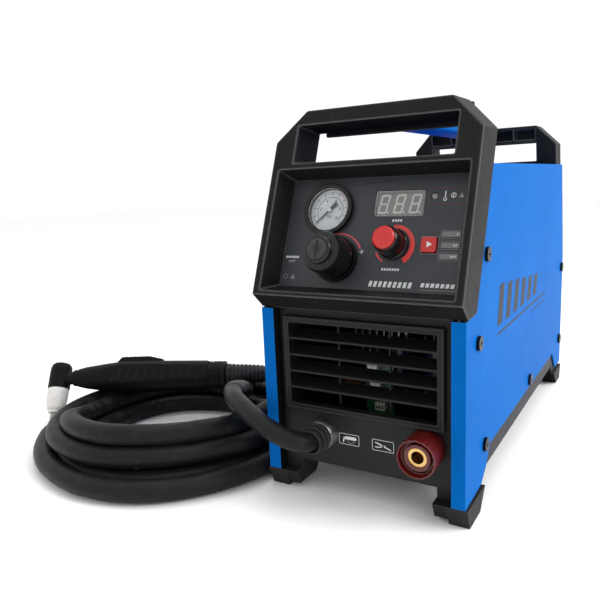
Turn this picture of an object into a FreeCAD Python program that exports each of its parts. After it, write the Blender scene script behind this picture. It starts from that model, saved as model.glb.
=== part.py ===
import FreeCAD, Part
import math
import os
import re
import Sketcher
from FreeCAD import Placement, Rotation, Vector

# A 40 A inverter plasma cutting machine with its torch, millimetres, +Z up.
# The origin is on the floor under the middle of the case. -Y is the front, where the controls are.

os.makedirs("parts", exist_ok=True)
doc = FreeCAD.newDocument("plasma_cutter")
sheet = doc.addObject("Spreadsheet::Sheet", "Sizes")

# ---------------------------------------------------------------- driving dimensions
SIZES = [
    ("front", -192.0, "front face of the side panels' flanges"),
    ("rear", 193.0, "rear edge of the side panels"),
    ("case_half", 79.5, "outer face of a side panel from the centre plane"),
    ("sheet_metal", 1.5, "thickness of the folded sheet"),
    ("gap", 0.4, "clearance between neighbouring covers"),
    ("flange", 10.0, "width of the side panel's front flange"),
    ("flange_return", 11.0, "depth of the flange's inward return"),
    ("skirt_low", 16.0, "lowest edge of a side panel, at its corners"),
    ("skirt_high", 40.5, "raised edge of a side panel, between the feet"),
    ("roof", 247.7, "top of the side panels and of the top cover"),
    ("tray_low", 24.0, "underside of the base tray"),
    ("bezel_half", 80.5, "outer face of the front moulding"),
    ("bezel_depth", 36.0, "front to rear of the front moulding, level"),
    ("lip_forward", 10.35, "how far the moulding's lip stands in front of the flanges"),
    ("lip_height", 159.4, "height of the moulding's lip"),
    ("lean", 21.77, "degrees that the control face leans back"),
    ("handle_top", 294.0, "top of the front handle"),
    ("handle_half", 62.5, "half the width of the front handle's opening"),
    ("rear_lean", 13.87, "degrees that the rear moulding leans forward"),
    ("rear_break", 142.0, "height where the rear moulding starts to lean"),
    ("rear_top", 289.0, "top of the rear handle"),
    ("rear_depth", 24.0, "front to rear of the rear moulding, inside the side panels"),
    ("rear_rim", 2.6, "how far the rear moulding stands behind the side panels"),
    ("panel_depth", 19.0, "depth of the control plate below the moulding's face"),
    ("panel_half", 75.0, "half the width of the control plate"),
    ("gauge_across", -35.5, "pressure gauge from the centre plane"),
    ("gauge_up", 71.5, "pressure gauge above the lip, up the slope"),
    ("knob_across", 20.0, "current knob from the centre plane"),
    ("knob_up", 45.0, "current knob above the lip, up the slope"),
    ("regulator_across", -23.8, "pressure regulator from the centre plane"),
    ("regulator_up", 33.0, "pressure regulator above the lip, up the slope"),
    ("button_across", 46.5, "test button from the centre plane"),
    ("button_up", 45.1, "test button above the lip, up the slope"),
    ("lamp_across", 46.0, "status lamp from the centre plane"),
    ("lamp_up", 80.7, "status lamp above the lip, up the slope"),
    ("window_pitch", 7.9, "from one mode window to the next"),
    ("lower_panel", 9.0, "depth of the lower front panel behind the flanges"),
    ("grille_half", 63.5, "half the width of the air grille"),
    ("grille_low", 67.5, "bottom of the air grille"),
    ("grille_high", 141.0, "top of the air grille"),
    ("socket_across", 49.7, "work socket from the centre plane"),
    ("socket_height", 53.5, "height of the work socket"),
    ("gland_across", -33.0, "torch gland from the centre plane"),
    ("gland_height", 50.0, "height of the torch gland"),
    ("lead_diameter", 18.5, "torch lead"),
    ("fan_side", 92.0, "side of the square fan frame"),
    ("fan_height", 86.0, "height of the fan's axis"),
    ("fan_screw", 41.25, "a fan screw from the fan's axis, across and up"),
    ("board", 1.6, "thickness of a circuit board"),
    ("main_board_height", 62.0, "underside of the main board"),
]
for row, (alias, value, note) in enumerate(SIZES, start=1):
    sheet.set("A%d" % row, note)
    sheet.set("B%d" % row, str(value))
    sheet.setAlias("B%d" % row, alias)
doc.recompute()
WORD = re.compile(r"\b(" + "|".join(alias for alias, value, note in SIZES) + r")\b")
S = {alias: float(value) for alias, value, note in SIZES}

SUBPARTS = []


def cell(value):
    """Expression text: sheet words get the sheet's name in front."""
    return WORD.sub(r"Sizes.\1", str(value))


def number(value):
    """The value of a number, a sheet word or a sum of them, such as front+12 or -panel_half."""
    total = 0.0
    for sign, term in re.findall(r"([+-]?)\s*([A-Za-z_]\w*|\d+\.?\d*)", str(value)):
        size = S[term] if term in S else float(term)
        total += -size if sign == "-" else size
    return total


def subpart(obj, label):
    """Name an object as one of the assembly's sub-parts."""
    obj.Label = label
    SUBPARTS.append(obj)
    return obj


# ---------------------------------------------------------------- building blocks
TURNS = {
    "Z": Rotation(),
    "Y": Rotation(Vector(1, 0, 0), -90),
    "X": Rotation(Vector(0, 1, 0), 90),
}


def put(obj, at):
    """Bind an object's place to the sheet."""
    for axis, value in zip("xyz", at):
        obj.setExpression("Placement.Base." + axis, cell(value))
    return obj


def box(name, low, size):
    """A box with its lowest corner at low."""
    obj = doc.addObject("Part::Box", name)
    for prop, value in zip(("Length", "Width", "Height"), size):
        obj.setExpression(prop, cell(value))
    return put(obj, low)


def rod(name, axis, radius, length, at):
    """A cylinder that starts at a point and runs along +X, +Y or +Z."""
    obj = doc.addObject("Part::Cylinder", name)
    obj.setExpression("Radius", cell(radius))
    obj.setExpression("Height", cell(length))
    obj.Placement = Placement(Vector(), TURNS[axis])
    return put(obj, at)


def taper(name, axis, radius, end_radius, length, at):
    """A cone frustum that starts at a point and runs along +X, +Y or +Z."""
    obj = doc.addObject("Part::Cone", name)
    obj.Radius1 = radius
    obj.Radius2 = end_radius
    obj.Height = length
    obj.Placement = Placement(Vector(), TURNS[axis])
    return put(obj, at)


def fuse(name, shapes):
    """One solid out of shapes that overlap."""
    obj = doc.addObject("Part::MultiFuse", name)
    obj.Shapes = shapes
    return obj


def group(name, shapes):
    """Separate solids that share one node."""
    obj = doc.addObject("Part::Compound", name)
    obj.Links = shapes
    return obj


def cut(name, base, tools):
    """Base with the tools taken out of it."""
    obj = doc.addObject("Part::Cut", name)
    obj.Base = base
    obj.Tool = tools[0] if len(tools) == 1 else fuse(name + "_cutters", tools)
    return obj


def ring(name, axis, outer, inner, length, at):
    """A straight sleeve."""
    shift = "XYZ".index(axis)
    start = list(at)
    start[shift] = "%s-1" % at[shift]
    bore = rod(name + "_bore", axis, inner, "%s+2" % length, start)
    return cut(name, rod(name + "_wall", axis, outer, length, at), [bore])


def rounded(name, base, radius, pick):
    """Fillet the edges of base that pick accepts."""
    doc.recompute()
    edges = [n for n, edge in enumerate(base.Shape.Edges, start=1) if pick(edge)]
    obj = doc.addObject("Part::Fillet", name)
    obj.Base = base
    obj.Edges = [(n, radius, radius) for n in edges]
    return obj


def along(axis):
    """Accepts straight edges that run along an axis."""
    want = {"X": Vector(1, 0, 0), "Y": Vector(0, 1, 0), "Z": Vector(0, 0, 1)}[axis]

    def pick(edge):
        if not isinstance(edge.Curve, Part.Line):
            return False
        return abs(edge.Curve.Direction.dot(want)) > 0.999

    return pick


def new_sketch(body, plane, name):
    """A sketch on one of the body's own origin planes, found by its role."""
    sketch = body.newObject("Sketcher::SketchObject", name)
    support = [f for f in body.Origin.OriginFeatures if f.Role == plane][0]
    sketch.AttachmentSupport = [(support, "")]
    sketch.MapMode = "FlatFace"
    return sketch


def outline(sketch, points):
    """A closed outline whose corners are held by distances bound to the sheet."""
    values = [(number(a), number(b)) for a, b in points]
    first = sketch.GeometryCount
    for n, (a, b) in enumerate(values):
        c, d = values[(n + 1) % len(values)]
        sketch.addGeometry(Part.LineSegment(Vector(a, b, 0), Vector(c, d, 0)))
    for n, (a, b) in enumerate(points):
        line = first + n
        following = first + (n + 1) % len(points)
        sketch.addConstraint(Sketcher.Constraint("Coincident", line, 2, following, 1))
        for kind, text, value in (("DistanceX", a, values[n][0]), ("DistanceY", b, values[n][1])):
            c = sketch.addConstraint(Sketcher.Constraint(kind, -1, 1, line, 1, value))
            if isinstance(text, str):
                sketch.setExpression("Constraints[%d]" % c, cell(text))


def padded(name, plane, points, length, offset=0.0):
    """A PartDesign body: an outline padded from an offset of its plane, along +X in the YZ plane."""
    body = doc.addObject("PartDesign::Body", name)
    sketch = new_sketch(body, plane, name + "_outline")
    outline(sketch, points)
    pad = body.newObject("PartDesign::Pad", name + "_pad")
    pad.Profile = sketch
    pad.setExpression("Length", cell(length))
    pad.Reversed = plane == "XZ_Plane"
    along_axis = {"YZ_Plane": "x", "XZ_Plane": "y", "XY_Plane": "z"}[plane]
    body.setExpression("Placement.Base." + along_axis, cell(offset))
    return body


def spun(name, points, at=(0, 0, 0), turn=Rotation()):
    """A PartDesign body: an outline of (radius, height) points revolved about +Z, then placed."""
    body = doc.addObject("PartDesign::Body", name)
    sketch = new_sketch(body, "XZ_Plane", name + "_profile")
    outline(sketch, points)
    turned = body.newObject("PartDesign::Revolution", name + "_turned")
    turned.Profile = sketch
    turned.ReferenceAxis = (sketch, ["V_Axis"])
    turned.Angle = 360
    body.Placement = Placement(Vector(), turn)
    return put(body, at)


# The control face has its own frame: X across, Y into the case, Z up the slope, from the lip.
FACE = Placement(
    Vector(0, S["front"] - S["lip_forward"], S["lip_height"]),
    Rotation(Vector(1, 0, 0), -S["lean"]),
)
# The rear moulding's leaning face: X across, Y out of the case, Z up the slope, from the break.
BACK = Placement(
    Vector(0, S["rear"] + S["rear_rim"], S["rear_break"]),
    Rotation(Vector(1, 0, 0), S["rear_lean"]),
)
OUTWARD = Rotation(Vector(1, 0, 0), 90)


def leaning(name, shapes, frame=FACE):
    """Shapes built in a leaning frame, moved into the part's frame."""
    obj = group(name, shapes)
    obj.Placement = frame
    return obj


def bezel_rear(height):
    """Y of the front moulding's rear slope at a height."""
    rise = height - S["lip_height"]
    return S["front"] - S["lip_forward"] + rise * math.tan(math.radians(S["lean"])) + S["bezel_depth"]


def back_slope(height):
    """Y of the rear moulding's outer slope at a height."""
    return S["rear"] - (height - S["rear_break"]) * math.tan(math.radians(S["rear_lean"]))


# ---------------------------------------------------------------- case shell
SCREW_PLACES = [
    ("front+27.5", 127),
    ("front+46.5", 186),
    ("front+47", 46),
    ("front+206", 48),
    ("front+370", 49),
    ("front+372", 133),
]


def screw_holes(name, side):
    """Clearance holes for the side screws, through one side's sheet and tray lip."""
    holes = []
    for n, (y, z) in enumerate(SCREW_PLACES):
        start = "case_half-8" if side > 0 else "-case_half-2"
        holes.append(rod("%s_%d" % (name, n), "X", 2.4, 10, (start, y, z)))
    return holes


def side_panel(label, side):
    """One folded side: the flat, the front flange and its inward return."""
    top_front = bezel_rear(S["roof"]) + S["gap"]
    chin_rear = bezel_rear(149.0) + S["gap"]
    points = [
        ("front", "skirt_low"),
        ("front+40", "skirt_low+2"),
        ("front+52", "skirt_low+10"),
        ("front+63", "skirt_high"),
        ("rear-52", "skirt_high"),
        ("rear-31", "skirt_low+3"),
        ("rear", "skirt_low+2"),
        ("rear", "rear_break"),
        (back_slope(S["roof"]), "roof"),
        (top_front, "roof"),
        (chin_rear, 148.4),
        ("front", 147.0),
    ]
    start = "case_half-sheet_metal" if side > 0 else "-case_half"
    flat = padded(label + "_flat", "YZ_Plane", points, "sheet_metal", start)
    inner = "case_half-flange" if side > 0 else "-case_half"
    lip = "case_half-flange" if side > 0 else "-case_half+flange-sheet_metal"
    height = "147-skirt_low"
    flange = box(label + "_flange", (inner, "front", "skirt_low"), ("flange", "sheet_metal", height))
    fold = box(label + "_return", (lip, "front", "skirt_low"), ("sheet_metal", "flange_return", height))
    folded = fuse(label + "_folded", [flat, flange, fold])
    holes = screw_holes(label + "_hole", side)
    return subpart(cut(label + "_cut", folded, holes), label)


def top_cover():
    """The roof sheet between the two mouldings, with its turned-down lips."""
    y0 = bezel_rear(S["roof"]) + S["gap"]
    y1 = back_slope(S["roof"]) - S["rear_depth"] - S["gap"]
    length = y1 - y0
    half = "case_half-sheet_metal-gap"
    low = ("-(%s)" % half, y0, "roof-sheet_metal")
    flat = box("roof_flat", low, ("2*(%s)" % half, length, "sheet_metal"))
    lips = [
        box("roof_lip_left", ("-(%s)" % half, y0 + 6, "roof-14"), ("sheet_metal", length - 12, 14)),
        box("roof_lip_right", ("%s-sheet_metal" % half, y0 + 6, "roof-14"), ("sheet_metal", length - 12, 14)),
    ]
    return subpart(fuse("roof", [flat] + lips), "top_cover")


def carry_rail():
    """The lengthwise grip between the two handles: a closed tube with a cross plate at its front."""
    y0 = bezel_rear(S["handle_top"]) + S["gap"]
    y1 = back_slope(S["rear_top"]) - S["rear_depth"] - S["gap"]
    tube = box("rail_tube", (-15, y0, 278.6), (30, y1 - y0, 14))
    tube = rounded("rail_rounded", tube, 4, along("Y"))
    plate = box("rail_plate", (-61, y0, 275.5), (122, 2, 17.1))
    hollow = box("rail_hollow", (-13, y0 - 1, 280.6), (26, y1 - y0 + 2, 10))
    return subpart(cut("rail", fuse("rail_solid", [tube, plate]), [hollow]), "carry_rail")


def front_bezel():
    """The front moulding: leaning frame, handle bar, recess for the controls and a hollow back."""
    lip = S["front"] - S["lip_forward"]
    top_front = lip + (S["handle_top"] - S["lip_height"]) * math.tan(math.radians(S["lean"]))
    points = [
        (lip, "lip_height"),
        (top_front, "handle_top"),
        (top_front + S["bezel_depth"], "handle_top"),
        (bezel_rear(149.0), 149),
        ("front+2.8", 147.5),
    ]
    block = padded("bezel_block", "YZ_Plane", points, "2*bezel_half", "-bezel_half")
    opening = padded(
        "bezel_handle_opening",
        "YZ_Plane",
        [("front+15", 254.3), ("front+90", 256), ("front+90", 276), ("front+38", 283.2), ("front+15", 283.2)],
        "2*handle_half",
        "-handle_half",
    )
    corners = []
    for side in (-1, 1):
        shoulder = [
            (side * 57.5, "handle_top"),
            (side * 57.5, "handle_top+12"),
            (side * 92.0, "handle_top+12"),
            (side * 92.0, "handle_top-33.7"),
        ]
        name = "bezel_corner_left" if side < 0 else "bezel_corner_right"
        corners.append(padded(name, "XZ_Plane", shoulder, 140, "front-30"))
    recess = doc.addObject("Part::Wedge", "bezel_recess")
    # The mouth is wider than the floor: the walls have draft.
    recess.Xmin, recess.Xmax, recess.Zmin, recess.Zmax = -75.4, 75.4, 2.2, 98.3
    recess.X2min, recess.X2max, recess.Z2min, recess.Z2max = -69.4, 69.4, 11.6, 96.2
    recess.Ymin, recess.Ymax = -3, 20
    cavity = box("bezel_cavity", (-77, "panel_depth+0.6", 5), (154, 60, 95))
    hollow = leaning("bezel_hollow", [recess, cavity])
    shell = cut("bezel", block, [opening] + corners + [hollow])
    return subpart(shell, "front_bezel")


def rear_frame():
    """The rear moulding: leaning wall, roof end, posts and the ribbed bar of the rear handle."""
    def slab(name, half, clear, low, high, depth):
        points = [
            (back_slope(low) + clear, low),
            (back_slope(high) + clear, high),
            (back_slope(high) + clear - depth, high),
            (back_slope(low) + clear - depth, low),
        ]
        return padded(name, "YZ_Plane", points, 2 * half, -half)

    low = S["rear_break"] + 1
    reach = S["rear_rim"]
    main = slab("rear_slab", 77.5, reach, low, S["rear_top"], S["rear_depth"] + reach)
    rim = slab("rear_edge", 79.3, reach, low, S["roof"], reach - S["gap"])
    cavity = slab("rear_cavity", 73, -1, low - 4, S["roof"] - 5, 60)
    opening = box("rear_opening", (-57, "rear-80", 252.5), (114, 100, 19.5))
    corners = []
    for side in (-1, 1):
        shoulder = [
            (side * 58.0, "rear_top"),
            (side * 58.0, "rear_top+15"),
            (side * 94.0, "rear_top+15"),
            (side * 94.0, "rear_top-36"),
        ]
        name = "rear_corner_left" if side < 0 else "rear_corner_right"
        corners.append(padded(name, "XZ_Plane", shoulder, 120, "rear-90"))
    pockets = []
    for n in range(5):
        x = -56 + n * 22.8
        pockets.append(box("rear_pocket_%d" % n, (x, "rear-75", 275), (20.8, 26, 11)))
    holes = [
        box("rear_switch_hole", (-58.2, -6, 48), (22.4, 12, 30.4)),
        rod("rear_mains_hole", "Y", 10.2, 14, (42, -7, 60)),
        rod("rear_air_hole", "Y", 6.7, 14, (2, -7, 60)),
    ]
    seats = leaning("rear_seats", holes, BACK)
    outer = fuse("rear_outer", [main, rim])
    return subpart(cut("rear_moulding", outer, [cavity, opening, seats] + corners + pockets), "rear_frame")


CORNERS = [(-1, -1), (-1, 1), (1, -1), (1, 1)]


def fan_corner(x, z, y):
    """The place of one of the fan's corner screws."""
    return ("%d*fan_screw" % x, y, "fan_height+%d*fan_screw" % z)


def rear_panel():
    """The flat lower back with the fan's opening and its four screw holes."""
    plate = box("back_plate", ("-case_half+sheet_metal+gap", "rear-2.5", 26), (155.2, "sheet_metal", 116.5))
    holes = [rod("back_fan_hole", "Y", 43, 10, (0, "rear-6", "fan_height"))]
    for n, (x, z) in enumerate(CORNERS):
        holes.append(rod("back_screw_%d" % n, "Y", 2.2, 10, fan_corner(x, z, "rear-6")))
    holes.append(rod("back_earth_hole", "Y", 3.2, 10, (62, "rear-6", 40)))
    return subpart(cut("back", plate, holes), "rear_panel")


def base_tray():
    """The floor of the case with its upturned lips and the pressed-in posts of the main board."""
    half = "case_half-sheet_metal-gap"
    depth = "rear-front-16"
    low = ("-(%s)" % half, "front+12", "tray_low")
    floor = box("tray_floor", low, ("2*(%s)" % half, depth, "sheet_metal"))
    lips = [
        box("tray_lip_left", ("-(%s)" % half, "front+12", "tray_low"), ("sheet_metal", depth, 34)),
        box("tray_lip_right", ("%s-sheet_metal" % half, "front+12", "tray_low"), ("sheet_metal", depth, 34)),
        box("tray_front", (-68, "front+12", "tray_low"), (136, "sheet_metal", 11)),
    ]
    posts = []
    for n, (x, y) in enumerate([(-60, 68), (60, 68), (-60, 332), (60, 332)]):
        place = (x, "front+%d" % y, "tray_low")
        posts.append(rod("tray_post_%d" % n, "Z", 3.5, "main_board_height-tray_low-0.1", place))
    holes = screw_holes("tray_left_hole", -1) + screw_holes("tray_right_hole", 1)
    return subpart(cut("tray", fuse("tray_folded", [floor] + lips + posts), holes), "base_tray")


def foot(label, side, at_rear):
    """A moulded corner foot: a full-height outer block and a shorter inner one."""
    toe, heel = ("rear-7", "rear-31") if at_rear else ("front+6", "front+32")
    edge, inner = ("rear-1", "rear-46") if at_rear else ("front+0.4", "front+45")
    head = "rear-1.2" if at_rear else "front+flange_return+gap"
    top = "tray_low-gap"
    profile = [(toe, 0), (heel, 0), (inner, 18), (inner, top), (head, top), (head, 15.5), (edge, 15.4)]
    start = 66 if side > 0 else -77.6
    outer = padded(label + "_outer", "YZ_Plane", profile, 11.6, start)
    wing_profile = [(toe, 0), (heel, 0), (inner, 15), (edge, 15)]
    wing = padded(label + "_wing", "YZ_Plane", wing_profile, 3.6, 77.4 if side > 0 else -81)
    inner_profile = [(a, b if b != 0 else 3.5) for a, b in profile]
    block = padded(label + "_inner", "YZ_Plane", inner_profile, 10.6, 55.6 if side > 0 else -66.2)
    return fuse(label + "_block", [outer, wing, block])


def case_screws():
    """Pan-head screws on both sides, with cross recesses, and the earth and fan screws at the back."""
    screws = []
    for side in (-1, 1):
        for n, (y, z) in enumerate(SCREW_PLACES):
            name = "side_screw_%s%d" % ("left_" if side < 0 else "right_", n)
            head_at = "case_half+0.1" if side > 0 else "-case_half-2.4"
            shank_at = "case_half-6" if side > 0 else "-case_half-1"
            head = rod(name + "_head", "X", 5.2, 2.3, (head_at, y, z))
            shank = rod(name + "_shank", "X", 2.0, 7, (shank_at, y, z))
            slot_at = "case_half+1.2" if side > 0 else "-case_half-4.2"
            bars = [
                box(name + "_slot_a", (slot_at, "%s-2.6" % y, "%s-0.5" % z), (3, 5.2, 1)),
                box(name + "_slot_b", (slot_at, "%s-0.5" % y, "%s-2.6" % z), (3, 1, 5.2)),
            ]
            screws.append(cut(name, fuse(name + "_solid", [head, shank]), bars))
    earth = fuse("earth_solid", [
        rod("earth_head", "Y", 5.5, 3, (62, "rear-0.8", 40)),
        rod("earth_shank", "Y", 3, 14, (62, "rear-14", 40)),
    ])
    for n, (x, z) in enumerate(CORNERS):
        head = rod("fan_screw_head_%d" % n, "Y", 3.8, 2.2, fan_corner(x, z, "rear+0.8"))
        shank = rod("fan_screw_shank_%d" % n, "Y", 1.9, 26, fan_corner(x, z, "rear-25"))
        screws.append(fuse("fan_screw_%d" % n, [head, shank]))
    return subpart(group("screws", screws + [earth]), "case_screws")


# ---------------------------------------------------------------- lower front
def front_panel():
    """The lower front sheet with its cut-outs."""
    plate = box("front_plate", (-68.8, "front+lower_panel", 24.2), (137.6, "sheet_metal", 123))
    holes = [
        box("front_grille_hole", (-60, "front", "grille_low+4"), (120, 30, "grille_high-grille_low-8")),
        rod("front_socket_hole", "Y", 11, 30, ("socket_across", "front", "socket_height")),
        rod("front_gland_hole", "Y", 8.3, 30, ("gland_across", "front", "gland_height")),
    ]
    return subpart(cut("front", plate, holes), "front_panel")


def louvre_grille():
    """The air grille: a frame, four sloping slats and two uprights behind them."""
    face = "front+3.5"
    size = ("2*grille_half", "lower_panel-3.7", "grille_high-grille_low")
    frame = box("grille_block", ("-grille_half", face, "grille_low"), size)
    window = box("grille_window", (-58.5, "front", 74.5), (117, 30, 59.5))
    hollow = cut("grille_frame", frame, [window])
    slats = []
    for n in range(4):
        z = 84.0 + 12.95 * n
        profile = [("front+4.5", z), ("front+4.5", z + 1.8), ("front+22", z + 9.8), ("front+22", z + 8.0)]
        slats.append(padded("grille_slat_%d" % n, "YZ_Plane", profile, 118, -59))
    uprights = [
        box("grille_upright_left", (-22, "front+9", 72), (2, 14, 64.5)),
        box("grille_upright_right", (19, "front+9", 72), (2, 14, 64.5)),
        box("grille_side_left", (-59.6, "front+5", 72), (1.6, 18, 64.5)),
        box("grille_side_right", (58, "front+5", 72), (1.6, 18, 64.5)),
    ]
    return subpart(fuse("grille", [hollow] + slats + uprights), "louvre_grille")


def work_socket():
    """The clamp's panel socket: a ribbed insulator, a brass sleeve and a nut behind the panel."""
    x, z = "socket_across", "socket_height"
    collar = ring("socket_collar", "Y", 14, 8.4, 23.5, (x, "front-15", z))
    neck = ring("socket_neck", "Y", 10.7, 8.4, 16, (x, "front+8", z))
    subpart(fuse("socket_insulator", [collar, neck]), "socket_body")
    sleeve = ring("socket_brass", "Y", 8.1, 4.5, 34, (x, "front-11", z))
    back = rod("socket_back", "Y", 8.1, 12, (x, "front+22", z))
    stud = rod("socket_stud", "Y", 4, 14, (x, "front+34", z))
    subpart(fuse("socket_conductor", [sleeve, back, stud]), "socket_contact")


def torch_gland():
    """The lead's clamping gland through the lower front panel, and its nut inside."""
    x, z = "gland_across", "gland_height"
    flange = ring("gland_flange", "Y", 12.5, 7, 4, (x, "front+4.8", z))
    dome = ring("gland_dome", "Y", 11, 7, 12, (x, "front-7", z))
    neck = ring("gland_neck", "Y", 8, 6, 18, (x, "front+8", z))
    subpart(fuse("gland_solid", [flange, dome, neck]), "torch_gland")


# ---------------------------------------------------------------- control face, in the face's frame
def control_plate():
    """The sheet that carries the controls, with a hole for each."""
    plate = box("plate_sheet", ("-panel_half", "panel_depth+0.8", 7), ("2*panel_half", 2, 91))
    depth = "panel_depth-2"
    holes = [
        rod("plate_gauge_hole", "Y", 18.2, 8, ("gauge_across", depth, "gauge_up")),
        box("plate_display_hole", (0.9, depth, 66.3), (38, 8, 19.6)),
        rod("plate_led_hole", "Y", 2.7, 8, ("lamp_across", depth, "lamp_up")),
        box("plate_button_hole", ("button_across-5.6", depth, "button_up-5.6"), (11.2, 8, 11.2)),
        rod("plate_pot_hole", "Y", 4.8, 8, ("knob_across", depth, "knob_up")),
        rod("plate_regulator_hole", "Y", 11.2, 8, ("regulator_across", depth, "regulator_up")),
    ]
    for n in range(3):
        holes.append(box("plate_window_hole_%d" % n, (54, depth, "35+%d*window_pitch" % n), (13.6, 8, 4.6)))
    return subpart(leaning("plate", [cut("plate_cut", plate, holes)]), "control_plate")


def pressure_gauge():
    """A 40 mm panel gauge: case, dial, needle, front ring and lens."""
    x, z = "gauge_across", "gauge_up"
    cup = rod("gauge_cup", "Y", 17.9, 20.4, (x, "panel_depth+0.6", z))
    inside = rod("gauge_inside", "Y", 16.8, 15, (x, "panel_depth-1", z))
    port = rod("gauge_port", "Y", 4.8, 12, (x, "panel_depth+21", z))
    case = fuse("gauge_cup_and_port", [cut("gauge_cup_cut", cup, [inside]), port])
    subpart(leaning("gauge_case_placed", [case]), "gauge_case")
    dial = ring("gauge_face", "Y", 16.5, 1.6, 0.8, (x, "panel_depth+2", z))
    subpart(leaning("gauge_face_placed", [dial]), "gauge_dial")
    rim = ring("gauge_rim", "Y", 20, 16.9, 4.3, (x, "panel_depth-3.8", z))
    subpart(leaning("gauge_rim_placed", [rim]), "gauge_ring")
    lens = rod("gauge_glass", "Y", 16.6, 1.2, (x, "panel_depth-2.6", z))
    subpart(leaning("gauge_glass_placed", [lens]), "gauge_lens")
    # At rest the needle points down and to the left, at zero.
    blade = box("gauge_blade", (-0.45, "panel_depth+0.4", -5.5), (0.9, 0.5, 19.5))
    hub = rod("gauge_hub", "Y", 1.9, 1.4, (0, "panel_depth-0.2", 0))
    pivot = rod("gauge_pivot", "Y", 0.7, 6, (0, "panel_depth+0.4", 0))
    needle = fuse("needle_solid", [blade, hub, pivot])
    zero = Rotation(Vector(0, 1, 0), -135)
    needle.Placement = Placement(Vector(S[x], 0, S[z]), zero)
    subpart(leaning("needle_placed", [needle]), "gauge_needle")


def display():
    """The three-digit current meter: its housing and its tinted window."""
    body = box("display_body", (1.1, "panel_depth+2", 66.5), (37.6, 9, 19.2))
    tray = box("display_tray", (2.3, "panel_depth", 67.7), (35.2, 3.2, 16.8))
    subpart(leaning("display_housing_placed", [cut("display_cut", body, [tray])]), "display_housing")
    window = box("display_glass", (1.4, "panel_depth+0.4", 66.8), (37, 1.4, 18.6))
    subpart(leaning("display_window_placed", [window]), "display_window")


def panel_lights():
    """The status lamp and the three mode windows."""
    led = fuse("led_solid", [
        rod("led_body", "Y", 2.4, 6, ("lamp_across", "panel_depth+0.6", "lamp_up")),
        rod("led_flange", "Y", 3.2, 1, ("lamp_across", "panel_depth+3.4", "lamp_up")),
    ])
    windows = []
    for n in range(3):
        low = (54.3, "panel_depth+0.5", "35.3+%d*window_pitch" % n)
        windows.append(box("mode_window_%d" % n, low, (13, 2, 4)))
    subpart(leaning("lights_placed", [led] + windows), "status_lights")


def test_button():
    """A square push button; its switch is soldered to the control board."""
    cap = box("button_cap", ("button_across-5.3", "panel_depth-1.8", "button_up-5.3"), (10.6, 4.2, 10.6))
    cap = rounded("button_round", cap, 1.6, along("Y"))
    stem = rod("button_stem", "Y", 1.8, 3.4, ("button_across", "panel_depth+2.2", "button_up"))
    subpart(leaning("button_placed", [fuse("button_solid", [cap, stem])]), "test_button")


def current_control():
    """The current knob, its red cap and the potentiometer behind the plate."""
    x, z = "knob_across", "knob_up"
    skirt = spun(
        "knob_skirt",
        [(5.2, 0), (11.2, 0), (11.2, 2.2), (10.2, 3), (9.4, 16), (8.3, 17.4), (8.3, 15.6),
         (3.05, 15.6), (3.05, 1.6), (5.2, 1.6)],
        (x, "panel_depth", z),
        OUTWARD,
    )
    flutes = []
    for n in range(18):
        angle = math.radians(20 * n)
        across, up = S[x] + 10.6 * math.cos(angle), S[z] + 10.6 * math.sin(angle)
        place = (across, "panel_depth-15.2", up)
        flutes.append(rod("knob_flute_%d" % n, "Y", 0.75, 12, place))
    subpart(leaning("knob_skirt_placed", [cut("knob_fluted", skirt, flutes)]), "current_knob")
    cap_profile = [(0, 15.8), (8.1, 15.8), (8.1, 19), (7.1, 20), (0, 20)]
    cap = spun("knob_top", cap_profile, (x, "panel_depth", z), OUTWARD)
    subpart(leaning("knob_cap_placed", [cap]), "current_knob_cap")
    shaft = rod("pot_shaft_rod", "Y", 3, 28, (x, "panel_depth-15.5", z))
    subpart(leaning("pot_shaft_placed", [shaft]), "current_shaft")
    can = fuse("pot_can", [
        rod("pot_bush", "Y", 4.5, 9, (x, "panel_depth-1", z)),
        rod("pot_body", "Y", 8.5, 9, (x, "panel_depth+4", z)),
    ])
    bore = rod("pot_bore", "Y", 3.06, 15, (x, "panel_depth-2", z))
    subpart(leaning("pot_placed", [cut("pot_cut", can, [bore])]), "current_potentiometer")


def air_regulator():
    """The pressure regulator: body behind the plate, collar nut, turning spindle and locking knob."""
    x, z = "regulator_across", "regulator_up"
    body = fuse("regulator_solid", [
        rod("regulator_bowl", "Y", 17, 24, (x, "panel_depth+6", z)),
        rod("regulator_neck", "Y", 11, 12, (x, "panel_depth-4", z)),
        box("regulator_block", ("%s-14" % x, "panel_depth+24", "%s-12" % z), (28, 12, 24)),
    ])
    bore = rod("regulator_bore", "Y", 4.06, 28, (x, "panel_depth-5", z))
    subpart(leaning("regulator_placed", [cut("regulator_cut", body, [bore])]), "regulator_body")
    stem = rod("spindle_rod", "Y", 4, 40, (x, "panel_depth-20", z))
    subpart(leaning("spindle_placed", [stem]), "regulator_spindle")
    knob = spun(
        "reg_knob",
        [(0, 31), (8.8, 31), (10.2, 29.6), (10.4, 26), (14.2, 24.6), (15.2, 22), (15.9, 5.5),
         (12.2, 5.5), (12.2, 8), (4.06, 8), (4.06, 25), (0, 25)],
        (x, "panel_depth", z),
        OUTWARD,
    )
    flutes = []
    for n in range(12):
        angle = math.radians(30 * n)
        across, up = S[x] + 16.6 * math.cos(angle), S[z] + 16.6 * math.sin(angle)
        place = (across, "panel_depth-22", up)
        flutes.append(rod("reg_flute_%d" % n, "Y", 1.6, 14, place))
    subpart(leaning("reg_knob_placed", [cut("reg_fluted", knob, flutes)]), "regulator_knob")


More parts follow.
